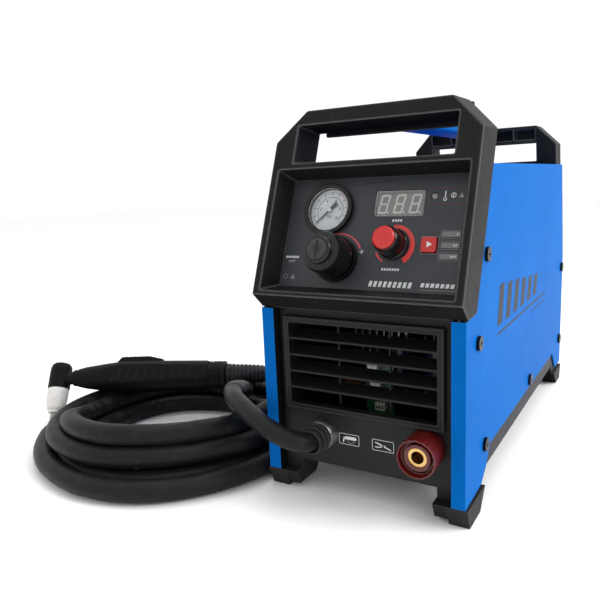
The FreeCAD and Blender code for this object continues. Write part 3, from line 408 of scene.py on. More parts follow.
def lead_sleeve():
    """The lead's rubber sleeve: matt black with a soft sheen, scuffs and fine creases."""
    look = Look("lead_sleeve", Specular_IOR_Level=0.15)
    scuffs = look.ranged(look.grain(0.006, 7), 0, 1, 0.56, 0.8)
    look.colour(look.grain(0.045, 4), (0.3, (0.005, 0.0055, 0.0055)), (0.7, (0.009, 0.0095, 0.0095)))
    look.mix_colour_in(scuffs, (0.04, 0.04, 0.04), 0.25)
    look.roughness(look.grain(0.015, 5), 0.36, 0.56)
    look.bump(look.grain(0.004, 5), 0.00022, 0.55)
    return look.bump(look.grain(0.0006, 2), 0.00003, 0.6).material


def soft_rubber(name, shade):
    """Dull black rubber, paler at its edges."""
    look = Look(name, Specular_IOR_Level=0.35)
    look.colour(look.grain(0.01, 4), (0.3, tuple(c * 0.75 for c in shade)), (0.7, shade))
    look.mix_colour_in(look.edges(0.0008), tuple(c * 4 for c in shade), 0.6)
    look.roughness(look.grain(0.005, 4), 0.5, 0.72)
    return look.bump(look.grain(0.0008, 3), 0.00005, 0.7).material


def ceramic():
    """Fired white ceramic: faintly mottled and matt."""
    look = Look("ceramic", Subsurface_Weight=0.05, Subsurface_Radius=(0.002, 0.0015, 0.001))
    look.colour(look.grain(0.005, 5), (0.3, (0.60, 0.58, 0.55)), (0.7, (0.72, 0.71, 0.69)))
    look.roughness(look.grain(0.002, 4), 0.45, 0.62)
    return look.bump(look.grain(0.0006, 3), 0.00003, 0.6).material


def dial_paper():
    """Matt white card."""
    look = Look("dial_white", Specular_IOR_Level=0.3)
    look.colour(look.grain(0.01, 4), (0.3, (0.78, 0.80, 0.84)), (0.7, (0.86, 0.88, 0.90)))
    look.roughness(look.grain(0.002), 0.4, 0.55)
    return look.bump(look.grain(0.0004, 2), 0.000006, 0.5).material


def see_through(name, shade, low, high, transmission, ior=1.45):
    """Clear plastic or glass with a little haze and dust."""
    look = Look(name, Transmission_Weight=transmission, IOR=ior)
    look.colour(look.grain(0.01), (0.3, tuple(c * 0.95 for c in shade)), (0.7, shade))
    return look.roughness(look.grain(0.003, 5), low, high).material


def circuit_board():
    """Green solder mask with a hint of tracks under it."""
    look = Look("board_green")
    tracks = look.lines(0.0011, "X", 6.0)
    look.colour(tracks, (0.45, (0.004, 0.05, 0.018)), (0.6, (0.012, 0.11, 0.035)))
    look.roughness(look.grain(0.004), 0.28, 0.42)
    return look.bump(tracks, 0.00004, 0.5).material


def wound_copper():
    """Lacquered copper wire, turn beside turn."""
    look = Look("copper", Metallic=0.85)
    turns = look.lines(0.00045, "Z", 0.6)
    look.colour(turns, (0.2, (0.16, 0.045, 0.012)), (0.7, (0.52, 0.19, 0.06)))
    look.roughness(look.grain(0.004), 0.25, 0.4)
    return look.bump(turns, 0.0003, 1.0).material


def printed(name, shade, gloss=0.4):
    """Screen-printed ink, thin in places."""
    look = Look(name, Specular_IOR_Level=gloss)
    look.colour(look.grain(0.0012, 5), (0.3, tuple(c * 0.78 for c in shade)), (0.62, shade))
    look.roughness(look.grain(0.004), 0.35, 0.5)
    return look.bump(look.grain(0.0004, 2), 0.000008, 0.5).material


def floor_finish():
    """A pale, almost even studio floor."""
    look = Look("studio_floor", Specular_IOR_Level=0.1)
    look.colour(look.grain(0.4, 3), (0.3, (0.91, 0.91, 0.91)), (0.7, (0.93, 0.93, 0.93)))
    return look.roughness(look.grain(0.1), 0.7, 0.85).material


PAINT = blue_paint("blue_paint")
PANEL_PAINT = blue_paint("panel_paint", (PRIMED_HALF * MM, PRIMED_END * MM))
# The case plastic's wide, pale edges: partly rubbed wear, partly a painted highlight along the moulding's
# edges.
CASE_PLASTIC = moulded(
    "case_plastic", (0.0125, 0.0128, 0.0135), (0.15, 0.152, 0.155), 0.0006, 0.00005, 0.42, 0.56,
    gloss=0.3, edge=0.002, IOR=1.2,
)
GRILLE_PLASTIC = moulded(
    "grille_plastic", (0.0055, 0.0058, 0.0062), (0.045, 0.045, 0.047), 0.0007, 0.00004, 0.4, 0.52, gloss=0.2
)
FOOT_RUBBER = moulded("foot_rubber", (0.012, 0.0115, 0.0115), (0.05, 0.05, 0.05), 0.0008, 0.00006, 0.55, 0.7)
GRIP_RUBBER = moulded(
    "torch_rubber", (0.0042, 0.0045, 0.0052), (0.035, 0.036, 0.038), 0.0009, 0.00005, 0.44, 0.58, gloss=0.1
)
SHEET = black_sheet()
FILM = panel_film()
GLOSS = black_gloss()
RED = glossy_colour("red_plastic", (0.46, 0.012, 0.010), (0.7, 0.08, 0.06))
DARK_RED = glossy_colour(
    "dark_red", (0.085, 0.0035, 0.003), (0.22, 0.02, 0.018), 0.3, 0.42,
    Coat_Weight=0.15, Coat_Roughness=0.2, Subsurface_Weight=0.15, Subsurface_Radius=(0.004, 0.0006, 0.0005),
)
BRASS = metal("brass", (0.82, 0.56, 0.22), (0.55, 0.35, 0.12), 0.2, 0.38, (1, 6, 1))
ZINC = metal("zinc_steel", (0.62, 0.62, 0.63), (0.42, 0.42, 0.44), 0.18, 0.36, (1, 1, 6))
CHROME = metal("bright_nickel", (0.62, 0.61, 0.59), (0.42, 0.41, 0.40), 0.26, 0.4)
TIP_METAL = metal("tip_metal", (0.45, 0.43, 0.41), (0.2, 0.19, 0.18), 0.22, 0.4, (1, 1, 8))
BLACK_STEEL = metal("black_screw", (0.022, 0.022, 0.024), (0.01, 0.01, 0.011), 0.3, 0.46, size=0.001)
ALUMINIUM = metal("aluminium", (0.66, 0.67, 0.68), (0.5, 0.5, 0.52), 0.25, 0.42, (1, 12, 1), 0.006)
FERRITE = moulded("ferrite", (0.02, 0.019, 0.019), (0.09, 0.09, 0.09), 0.0004, 0.00008, 0.5, 0.7)
CAN = glossy_colour("can_sleeve", (0.012, 0.016, 0.05), (0.1, 0.12, 0.2))
COPPER = wound_copper()
BOARD = circuit_board()
CERAMIC = ceramic()
DIAL = dial_paper()
GLASS = see_through("clear", (0.98, 0.99, 1.0), 0.0, 0.05, 1.0)
TINTED = see_through("tinted", (0.86, 0.87, 0.86), 0.03, 0.12, 0.97, 1.2)
LAMP = see_through("lamp", (0.42, 0.40, 0.38), 0.2, 0.4, 0.5)
WINDOW_GREY = glossy_colour("mode_window", (0.13, 0.133, 0.14), (0.2, 0.2, 0.2), 0.3, 0.42)
DIGIT = printed("unlit_segment", (0.82, 0.82, 0.80))
DISPLAY_GREY = printed("display_face", (0.32, 0.325, 0.315))
WHITE_INK = printed("white_ink", (0.62, 0.63, 0.64))
GREY_INK = printed("grey_ink", (0.22, 0.22, 0.225))
RED_INK = printed("red_ink", (0.62, 0.045, 0.04))
PINK_INK = printed("pink_ink", (0.5, 0.06, 0.09))
FAINT_RED_INK = printed("faint_red_ink", (0.13, 0.022, 0.03))
BLACK_INK = printed("black_ink", (0.012, 0.012, 0.013))
DECAL = printed("side_decal", (0.018, 0.026, 0.042), 0.05)
SLEEVE = lead_sleeve()
BOOT_RUBBER = soft_rubber("boot_rubber", (0.011, 0.0115, 0.0115))
CREAM = glossy_colour("connector_nylon", (0.5, 0.48, 0.42), (0.7, 0.7, 0.66), 0.35, 0.5)


# ---------------------------------------------------------------- mesh building
class Shape:
    """Closed meshes in one of the part's frames, in millimetres, gathered into one piece."""

    def __init__(self, place=CASE):
        self.mesh = bmesh.new()
        self.place = place
        self.looks = []

    def add(self, points, faces, look):
        if look not in self.looks:
            self.looks.append(look)
        made = [self.mesh.verts.new(self.place @ Vector(p)) for p in points]
        for face in faces:
            self.mesh.faces.new([made[n] for n in face]).material_index = self.looks.index(look)
        return made

    @staticmethod
    def spot(axis, a, b, along):
        """A point at a and b in the two axes across the given one, in the order X, Y, Z."""
        return {"X": (along, a, b), "Y": (a, along, b), "Z": (a, b, along)}[axis]

    def skin(self, points, sides, look, closed=False):
        """Quads between rings of points; the first and last ring are capped, or join when it is closed."""
        count = len(points) // sides
        faces = []
        for n in range(count if closed else count - 1):
            m = (n + 1) % count
            for k in range(sides):
                j = (k + 1) % sides
                faces.append((n * sides + k, n * sides + j, m * sides + j, m * sides + k))
        if not closed:
            faces.append(tuple(range(sides)))
            faces.append(tuple(range(count * sides - 1, (count - 1) * sides - 1, -1)))
        self.add(points, faces, look)

    def lathe(self, profile, look, axis="Z", at=(0, 0, 0), segments=48, ripple=None):
        """A profile of (radius, height) turned about an axis; ripple changes the radius."""
        points = []
        rings = []
        for radius, height in profile:
            sides = segments if radius else 1
            rings.append(list(range(len(points), len(points) + sides)))
            for n in range(sides):
                angle = math.tau * n / segments
                out = radius + (ripple(angle, height, radius) if ripple and radius else 0)
                turned = self.spot(axis, out * math.cos(angle), out * math.sin(angle), height)
                points.append(tuple(p + q for p, q in zip(turned, at)))
        faces = []
        closed = profile[0][0] > 0
        for low, high in zip(rings, rings[1:] + rings[:1] if closed else rings[1:]):
            for n in range(segments):
                m = (n + 1) % segments
                if len(low) == 1:
                    faces.append((low[0], high[m], high[n]))
                elif len(high) == 1:
                    faces.append((low[n], low[m], high[0]))
                else:
                    faces.append((low[n], low[m], high[m], high[n]))
        self.add(points, faces, look)

    def prism(self, outline, start, end, look, axis="Y"):
        """A flat outline given in the two other axes, from start to end along the axis."""
        points = [self.spot(axis, *p, depth) for depth in (start, end) for p in outline]
        self.skin(points, len(outline), look)

    def band(self, outer, inner, start, end, look):
        """A flat closed band in X and Z, between two outlines with the same number of points."""
        loops = ((outer, start), (inner, start), (inner, end), (outer, end))
        points = [(x, depth, z) for outline, depth in loops for x, z in outline]
        self.skin(points, len(outer), look, closed=True)

    def moulding(self, low, high, profile, look, radius=0.8):
        """A rectangular frame in X and Z: each (inset, depth) of its closed profile is one loop round it."""
        points = []
        for inset, depth in profile:
            corners = (low[0] + inset, low[1] + inset), (high[0] - inset, high[1] - inset)
            loop = rounded_box(*corners, radius, 4)
            points += [(x, depth, z) for x, z in loop]
        self.skin(points, len(loop), look, closed=True)

    def box(self, low, high, look):
        self.prism(bar(low[0], low[2], high[0] - low[0], high[2] - low[2]), low[1], high[1], look)

    def tube(self, line, radius, look, sides=12, closed=False):
        """A round wire along a line of points."""
        points = []
        count = len(line)
        line = [Vector(p) for p in line]
        for n, spot in enumerate(line):
            back = line[n - 1] if n or closed else spot
            on = line[(n + 1) % count] if n < count - 1 or closed else spot
            ahead = (on - back).normalized()
            across = ahead.orthogonal() if abs(ahead.z) > 0.9 else ahead.cross((0, 0, 1))
            side = across.normalized()
            up = side.cross(ahead)
            for a, b in circle(radius, sides):
                points.append(tuple(spot + a * side + b * up))
        self.skin(points, sides, look, closed)

    def piece(self, name, body, replaces=(), edge=0.0, crease=38):
        """Make the object, round its edges by edge millimetres, and let it ride on a body."""
        bmesh.ops.recalc_face_normals(self.mesh, faces=self.mesh.faces)
        for face in self.mesh.faces:
            face.smooth = True
        limit = math.radians(crease)
        for line in self.mesh.edges:
            line.smooth = len(line.link_faces) != 2 or line.calc_face_angle(0) < limit
        data = bpy.data.meshes.new(name)
        self.mesh.to_mesh(data)
        self.mesh.free()
        for look in self.looks:
            data.materials.append(look)
        made = bpy.data.objects.new(name, data)
        bpy.context.scene.collection.objects.link(made)
        if edge:
            soften(made, edge, limit)
        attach(made, body)
        if replaces:
            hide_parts(*replaces)
        return made


def soften(made, edge, limit):
    """Round a piece's sharp edges and even out its shading."""
    rounding = made.modifiers.new("rounded_edges", "BEVEL")
    rounding.width = edge * MM
    rounding.segments = 3
    rounding.limit_method = "ANGLE"
    rounding.angle_limit = limit
    rounding.use_clamp_overlap = True
    shading = made.modifiers.new("even_shading", "WEIGHTED_NORMAL")
    shading.keep_sharp = False


def dress(look, edge, *names):
    """Give CAD nodes their material, and round the edges that a tool or a mould would leave rounded."""
    for name in names:
        node = NODES[name]
        node.data.materials.clear()
        node.data.materials.append(look)
        joined = node.modifiers.new("joined", "WELD")
        joined.merge_threshold = 0.000002
        if edge:
            soften(node, edge, math.radians(35))


def circle(radius, count=48, at=(0, 0), start=0.0, end=360.0):
    """Points round a circle, or along an arc with both its ends."""
    whole = end - start == 360.0
    points = []
    for n in range(count):
        angle = math.radians(start + (end - start) * n / (count if whole else count - 1))
        points.append((at[0] + radius * math.cos(angle), at[1] + radius * math.sin(angle)))
    return points


def ring(radius, inner, count, at):
    """The outer and inner outlines of a flat ring."""
    return circle(radius, count, at), circle(inner, count, at)


def bar(x, z, width, height, lean=0.0):
    """A bar's outline from its lower left corner, its top shifted by lean."""
    return [(x, z), (x + width, z), (x + width + lean, z + height), (x + lean, z + height)]


def fluted(count, depth, sharpness, least=0.0, low=-math.inf, high=math.inf):
    """A ripple for lathe(): grooves along the part that is at least so wide, between two heights."""
    def ripple(angle, height, radius):
        if radius < least or height < low or height > high:
            return 0.0
        return -depth * (0.5 + 0.5 * math.cos(count * angle)) ** sharpness

    return ripple


def arc_band(at, outer, inner, start, end, count=28):
    """The outline of a thick arc; inner and outer may be pairs, for an arc that tapers."""
    widths = [w if isinstance(w, tuple) else (w, w) for w in (outer, inner)]
    points = []
    for (first, last), order in zip(widths, (1, -1)):
        side = []
        for n in range(count):
            share = n / (count - 1)
            angle = math.radians(start + (end - start) * share)
            radius = first + (last - first) * share
            side.append((at[0] + radius * math.cos(angle), at[1] + radius * math.sin(angle)))
        points += side[::order]
    return points


def rounded_box(low, high, radius, count=6):
    """A rectangle's outline with round corners."""
    corners = [
        (high[0] - radius, high[1] - radius, 0),
        (low[0] + radius, high[1] - radius, 90),
        (low[0] + radius, low[1] + radius, 180),
        (high[0] - radius, low[1] + radius, 270),
    ]
    points = []
    for x, z, start in corners:
        points += circle(radius, count, (x, z), start, start + 90)
    return points


def frame_line(low, high, radius, width):
    """Outer and inner outlines of a thin rounded frame."""
    inner_low = (low[0] + width, low[1] + width)
    inner_high = (high[0] - width, high[1] - width)
    return rounded_box(low, high, radius), rounded_box(inner_low, inner_high, max(radius - width, 0.1))


# ---------------------------------------------------------------- the lead's sleeve
FULL_BEND = 0.05
RING_SIDES = 28


def bend_at(line, n, reach=6):
    """How hard the line turns at its nth point, 1 from FULL_BEND metres down, and the way into the bend."""
    a, b = line[max(n - reach, 0)], line[min(n + reach, len(line) - 1)]
    sagitta = (a + b) / 2 - line[n]
    half = (b - a).length / 2
    return min(2 * sagitta.length / max(half * half, 1e-9) * FULL_BEND, 1.0), sagitta


def sleeve_push(travelled, out, angle, bend, inward, gathered, sleeved):
    """The sleeve's radius over its even radius, at one point of its surface: oval, swollen in places,
    pleated inside tight bends, gathered at its ends, dented, and creased along one wandering line."""
    fold = noise.noise(Vector((travelled * 30, 0, 5)))
    oval = 1.0 + 0.035 * math.cos(2 * angle)
    swell = 0.035 * noise.noise(Vector((travelled * 22, math.cos(angle), math.sin(angle))))
    inner = max(out.dot(inward), 0.0)
    pleats = math.sin(travelled * 340 + 7 * fold) * bend * inner * inner * (0.8 + 1.5 * fold)
    ripples = gathered * math.sin(travelled * 1150 + 4 * fold)
    dents = 0.03 * max(0.0, noise.noise(Vector((travelled * 75, 2 * out.x, 2 * out.z + 9))))
    crease_at = 7 * noise.noise(Vector((travelled * 3.5, 11, 2)))
    apart = math.remainder(angle - crease_at, math.tau)
    crease = 0.05 * sleeved * math.exp(-((apart / 0.3) ** 2))
    return oval + swell + 0.15 * pleats + 0.035 * ripples - dents - crease


def torch_lead():
    """One lead from the gland, five loose turns on the floor, and up into the torch's boot."""
    line = smooth_line("lead_line", OUT_ROUTE + coil_points() + IN_ROUTE[::-1], 14)
    points = []
    count = len(line)
    total = sum((b - a).length for a, b in zip(line, line[1:]))
    travelled = 0.0
    for n, spot in enumerate(line):
        back, on = line[max(n - 1, 0)], line[min(n + 1, count - 1)]
        travelled += (spot - back).length
        ahead = (on - back).normalized()
        side = ahead.cross(Vector((0, 0, 1))).normalized()
        up = side.cross(ahead)
        bend, sagitta = bend_at(line, n)
        inward = sagitta.normalized() if sagitta.length > 1e-6 else side
        ends = min(travelled - BARE_AT_GLAND, total - BARE_AT_TORCH - travelled)
        sleeved = min(max(ends / SLEEVE_EDGE, 0.0), 1.0)
        gathered = sleeved * math.exp(-max(ends, 0.0) / 0.03)
        radius = BARE_RADIUS + (LEAD_DIAMETER / 2 * MM - BARE_RADIUS) * sleeved
        for k in range(RING_SIDES):
            angle = math.tau * k / RING_SIDES
            out = math.cos(angle) * side + math.sin(angle) * up
            push = sleeve_push(travelled, out, angle, bend, inward, gathered, sleeved)
            points.append(spot + out * radius * push)
    shape = Shape(Matrix.Identity(4))
    shape.skin(points, RING_SIDES, SLEEVE)
    replaced = ("torch_lead_out", "torch_lead_coil", "torch_lead_in")
    return shape.piece("torch_lead", "case", replaced, crease=80), line


lead, lead_line = torch_lead()


# ---------------------------------------------------------------- CAD nodes that keep their shape
dress(PANEL_PAINT, 0.5, "side_panel_left", "side_panel_right")
dress(PAINT, 0.5, "top_cover")
dress(CASE_PLASTIC, 1.1, "front_bezel")
dress(CASE_PLASTIC, 0.7, "rear_frame")
dress(FOOT_RUBBER, 0.9, "front_feet", "rear_feet")
dress(SHEET, 0.3, "front_panel", "rear_panel", "base_tray")
dress(BLACK_STEEL, 0.35, "case_screws")
dress(FILM, 0.2, "control_plate")
dress(BRASS, 0.4, "socket_contact", "air_inlet")
dress(BLACK_STEEL, 0.4, "panel_nuts")
dress(ZINC, 0.4, "current_shaft", "regulator_spindle", "valve_plunger")
dress(GLOSS, 0.6, "gauge_ring")
dress(SHEET, 0.3, "gauge_case")
dress(DIAL, 0.1, "gauge_dial")
dress(GLASS, 0.3, "gauge_lens")
dress(DISPLAY_GREY, 0.2, "display_housing")
dress(TINTED, 0.2, "display_window")
dress(RED, 0.5, "test_button", "current_knob_cap")
dress(GLOSS, 0.3, "current_knob", "regulator_knob")
dress(ZINC, 0.3, "current_potentiometer")
dress(CASE_PLASTIC, 0.5, "regulator_body", "solenoid_valve")
dress(BOARD, 0.1, "control_board", "main_board")
dress(GRILLE_PLASTIC, 0.4, "fan_frame", "switch_housing")
dress(ALUMINIUM, 0.2, "heat_sinks")
dress(FERRITE, 0.6, "transformer_core")
dress(COPPER, 0.6, "transformer_coil", "output_choke")
dress(CAN, 0.8, "bus_capacitors")
dress(RED, 0.6, "power_rocker")
dress(GRIP_RUBBER, 1.2, "torch_handle")
dress(GRIP_RUBBER, 0.9, "torch_trigger")


# ---------------------------------------------------------------- front controls
def gauge_marks():
    """The gauge's ticks, numbers, scale line and red arc."""
    face = 20.95
    shape = Shape(FACE)
    zero, sweep, steps = 225, 270, 50
    for n in range(steps + 1):
        angle = math.radians(zero - sweep * n / steps)
        inner, outer, half = (13.6, 15.2, 0.11) if n % 5 else (12.2, 15.2, 0.22)
        ahead = Vector((math.cos(angle), math.sin(angle)))
        side = Vector((-ahead.y, ahead.x)) * half
        spots = [ahead * inner - side, ahead * outer - side, ahead * outer + side, ahead * inner + side]
        shape.prism([(GAUGE[0] + p.x, GAUGE[1] + p.y) for p in spots], face - 0.12, face, BLACK_INK)
    shape.prism(arc_band(GAUGE, 10.9, 10.55, -45, 225, 60), face - 0.1, face, BLACK_INK)
    shape.prism(arc_band(GAUGE, 16.0, 15.5, 60, -45, 30), face - 0.12, face, RED_INK)
    for n in range(6):
        angle = math.radians(zero - sweep * n / 5)
        spot = (GAUGE[0] + 8.3 * math.cos(angle), GAUGE[1] + 8.3 * math.sin(angle))
        add_number(shape, str(2 * n), spot, 3.3, face)
    for width, below in ((5.2, 4.4), (3.4, 5.6)):
        line = bar(GAUGE[0] - width / 2, GAUGE[1] - below, width, 0.45)
        shape.prism(line, face - 0.1, face, BLACK_INK)
    shape.piece("gauge_marks", "case")


def gauge_pointer():
    """The gauge's needle at its zero, with its broad tail, hub and pin."""
    at_zero = Matrix.Translation((GAUGE[0], 0, GAUGE[1])) @ Matrix.Rotation(math.radians(-135), 4, "Y")
    needle = Shape(FACE @ at_zero)
    depth = 19.4
    half = [(0.3, 13.8), (0.75, 1), (1.7, -5.4), (1.3, -7.6)]
    needle.prism([(-half[0][0], half[0][1])] + half + [(-x, z) for x, z in half[:0:-1]],
                 depth, depth + 0.4, BLACK_INK)
    hub = [(0, depth - 0.55), (1.5, depth - 0.55), (1.9, depth - 0.1), (1.9, depth + 0.5), (0, depth + 0.5)]
    needle.lathe(hub, ZINC, "Y", segments=24)
    needle.lathe([(0, depth + 0.4), (0.7, depth + 0.4), (0.7, 25), (0, 25)], ZINC, "Y", segments=16)
    needle.piece("gauge_pointer", "gauge_needle", ("gauge_needle",))


def add_number(shape, text, centre, size, face):
    """A printed number, its middle at centre, standing a hair proud of the face."""
    curve = bpy.data.curves.new("digits", "FONT")
    curve.body = text
    curve.size = size
    curve.align_x = "CENTER"
    curve.align_y = "CENTER"
    curve.extrude = 0.05
    holder = bpy.data.objects.new("digits", curve)
    bpy.context.scene.collection.objects.link(holder)
    bpy.context.view_layer.update()
    flat = bpy.data.meshes.new_from_object(holder)
    points = [(v.co.x + centre[0], face - 0.06 - v.co.z, v.co.y + centre[1]) for v in flat.vertices]
    shape.add(points, [tuple(p.vertices) for p in flat.polygons], BLACK_INK)
    bmesh.ops.remove_doubles(shape.mesh, verts=shape.mesh.verts, dist=1e-6)
    bpy.data.objects.remove(holder)
    bpy.data.meshes.remove(flat)


def display_digits():
    """Three slanted seven-segment digits with their points, unlit."""
    shape = Shape(FACE)
    face = 22.1
    slant = 0.16
    width, height, thick, gap, nib = 7.3, 14.4, 1.5, 0.25, 0.55
    half = height / 2

    for n in range(3):
        left, low = 2.9 + 11.9 * n, 68.9

        def draw(*spots):
            shape.prism([(left + x + slant * z, low + z) for x, z in spots], face, face + 0.4, DIGIT)

        for z in (0, half - thick / 2, height - thick):
            a, b, middle, top = gap + nib, width - gap - nib, z + thick / 2, z + thick
            draw((a, z), (b, z), (width - gap, middle), (b, top), (a, top), (gap, middle))
        for x in (0, width - thick):
            for z in (2 * gap, half + gap):
                top, middle = z + half - 3 * gap, x + thick / 2
                draw((x, z + nib), (middle, z), (x + thick, z + nib),
                     (x + thick, top - nib), (middle, top), (x, top - nib))
        shape.prism(circle(0.8, 14, (left + width + 1.3, low + 0.8)), face, face + 0.4, DIGIT)
    shape.piece("display_digits", "case")


MODE_LOW = 34.4
MODE_STEP = 7.9


def panel_print():
    """What is printed on the control plate: scales, frames and small pictograms."""
    shape = Shape(FACE)
    ink = (PLATE - 0.07, PLATE)

    def draw(outline, look):
        shape.prism(outline, *ink, look)

    def ruled(low, high, radius, width, look):
        shape.band(*frame_line(low, high, radius, width), *ink, look)

    draw(arc_band(CURRENT_KNOB, (14.8, 16.2), (12.4, 12.2), 96, -54, 40), RED_INK)
    draw(arc_band(CURRENT_KNOB, 14.6, 13.4, 240, 204, 12), RED_INK)
    for n in range(11):
        angle = math.radians(225 - 27 * n)
        spot = (CURRENT_KNOB[0] + 17.6 * math.cos(angle), CURRENT_KNOB[1] + 17.6 * math.sin(angle))
        draw(circle(0.3, 8, spot), GREY_INK)
    draw(arc_band(REGULATOR, (20.4, 21.0), (19.8, 19.4), 118, 26, 30), PINK_INK)
    plus = (-4.2, 39.6)
    for across, up in ((1.7, 0.28), (0.28, 1.7)):
        draw(bar(plus[0] - across, plus[1] - up, 2 * across, 2 * up), WHITE_INK)

    # The status lamp's frame, with a thermometer, a warning ring and a triangle beside the lamp.
    ruled((41.6, 74.6), (71.8, 86.6), 2.4, 0.35, FAINT_RED_INK)
    draw(arc_band((53.4, 78.2), 1.35, 0.75, 115, 425, 20), WHITE_INK)
    draw(bar(53.05, 79.3, 0.7, 4.9), WHITE_INK)
    shape.band(*ring(1.9, 1.35, 24, (59.2, 80.9)), *ink, WHITE_INK)
    draw(bar(58.9, 79.2, 0.6, 3.4), WHITE_INK)
    draw([(63.0, 79.1), (66.6, 79.1), (64.8, 82.6)], GREY_INK)

    # Frames round the button and the three mode windows.
    ruled((40.2, 38.8), (52.8, 51.4), 1.0, 0.35, GREY_INK)
    for n in range(3):
        low = MODE_LOW + MODE_STEP * n
        ruled((53.4, low), (72.6, low + 5.8), 0.6, 0.2, GREY_INK)

    # Plain slanted bars, where such a machine has its names and labels.
    rows = (
        (4.6, 14.2, 9, 3.7, (2.3, 4.1, 0.9), WHITE_INK),
        (43.4, 15.4, 7, 3.5, (2.4, 2.9, 0.6), WHITE_INK),
        (16.4, 62.2, 4, 2.0, (1.3, 1.7, 0.3), WHITE_INK),
        (13.0, 26.2, 7, 2.0, (1.3, 1.7, 0.3), WHITE_INK),
        (-68.0, 33.6, 6, 2.0, (1.3, 1.7, 0.3), WHITE_INK),
        (-65.0, 30.4, 3, 2.0, (1.3, 1.7, 0.3), GREY_INK),
    )
    for start, low, count, step, size, look in rows:
        for n in range(count):
            draw(bar(start + step * n, low, *size), look)
    draw(bar(43, 13.4, 28.5, 0.35), GREY_INK)
    shape.band(*ring(0.9, 0.5, 16, (70.6, 16.6)), *ink, WHITE_INK)
    shape.band(*ring(2.0, 1.6, 20, (-66, 19)), *ink, GREY_INK)
    draw([(-61.5, 17.3), (-57.1, 17.3), (-59.3, 21)], GREY_INK)
    shape.piece("panel_print", "case")


def front_lamps():
    """The status lamp's dome and the three mode windows."""
    shape = Shape(FACE)
    dome = [(0, 18.9), (1.0, 19.0), (1.8, 19.35), (2.3, 20.0), (2.4, 20.8), (2.4, 22.4)]
    flange = [(3.2, 22.4), (3.2, 23.4), (2.4, 23.4), (2.4, 25.6), (0, 25.6)]
    shape.lathe(dome + flange, LAMP, "Y", (46, 0, 80.7), 32)
    for n in range(3):
        low = MODE_LOW + 0.9 + MODE_STEP * n
        shape.prism(rounded_box((54.3, low), (67.3, low + 4), 0.5), 19.55, 21.5, WINDOW_GREY)
        for k in range(3 - n):
            shape.prism(bar(64.7 - 1.5 * k, low + 1.3, 0.7, 1.4, 0.3), 19.48, 19.6, WHITE_INK)
    shape.piece("front_lamps", "case", ("status_lights",))


def button_mark():
    """The white arrow on the test button."""
    shape = Shape(FACE)
    shape.prism([(45.2, 42.9), (49.0, 45.1), (45.2, 47.3)], 17.12, 17.3, WHITE_INK)
    shape.piece("button_arrow", "test_button", edge=0.05)


def knob_marks():
    """A pointer line on the current knob, and the regulator cap's ring and grip line."""
    shape = Shape(FACE)
    shape.box((19.6, 7.9, 53.4), (20.4, 9.0, 54.05), WHITE_INK)
    shape.piece("current_pointer", "current_knob")
    cap = Shape(FACE @ Matrix.Translation((REGULATOR[0], 0, REGULATOR[1])))
    front = -12
    bead = [(8.9, -0.05), (9.5, 0.15), (9.9, 0.7), (9.2, 0.8), (8.7, 0.3)]
    cap.lathe([(r, front + h) for r, h in bead], GLOSS, "Y", segments=64)
    disc = [(0, -0.02), (7.6, -0.02), (7.9, 0.2), (0, 0.2)]
    cap.lathe([(r, front + h) for r, h in disc], GRILLE_PLASTIC, "Y")
    cap.box((-0.5, front - 0.35, -6.5), (0.5, front + 0.1, 6.5), GLOSS)
    cap.piece("regulator_cap_ring", "regulator_knob")


# ---------------------------------------------------------------- lower front
def work_socket():
    """The red insulator: a fluted collar with stepped rings round the brass."""
    shape = Shape(placed(SOCKET[0], FRONT, SOCKET[1]))
    inside = [(8.5, 23.8), (8.5, -11.2), (6.9, -11.2), (6.9, -11.8), (7.4, -12.2), (9.4, -12.1), (9.8, -11.4),
              (10.2, -8.6), (11.2, -8.6), (11.5, -10.0), (12.1, -10.4), (12.4, -11.2)]
    collar = [(12.6, -13.9), (13.0, -14.8), (13.5, -15.0), (13.9, -14.6), (14.0, -13.6), (14.0, -4),
              (14.0, 7.0), (13.7, 8.3), (10.7, 8.4), (10.7, 23.8)]
    shape.lathe(inside + collar, DARK_RED, "Y", segments=108, ripple=fluted(18, 0.45, 3, least=13, high=7.6))
    shape.piece("socket_insulator", "case", ("socket_body",), crease=30)


def torch_gland():
    """The lead's nickel-plated gland, and a ribbed rubber relief that tapers onto the lead."""
    place = placed(GLAND[0], FRONT, GLAND[1])
    shape = Shape(place)
    nut = [(7.2, 8.8), (7.2, 0), (9.8, -0.6), (10.8, -0.2), (11.6, 1.4), (12.0, 3.6), (12.1, 8.8)]
    shape.lathe(nut, CHROME, "Y", segments=96, ripple=fluted(6, 0.1, 12, least=11.4))
    shape.lathe([(6.4, 25.8), (6.4, 8.6), (8.0, 8.6), (8.0, 25.8)], ZINC, "Y")
    shape.piece("gland_fitting", "case", ("torch_gland",), crease=28)

    relief = Shape(place)
    cuff = [(7.9, 6), (7.9, -13.5), (8.3, -14.4), (8.9, -14.2), (9.3, -13), (9.6, -9.5), (9.3, -9), (9.3, -8),
            (9.9, -7.5), (10.2, -4.6), (9.9, -4.2), (9.9, -3.4), (10.6, -3), (11.0, -1.6), (10.8, -0.6),
            (9.7, -0.4), (9.7, 6)]
    relief.lathe(cuff, BOOT_RUBBER, "Y", segments=56)
    return relief.piece("lead_relief", "case")


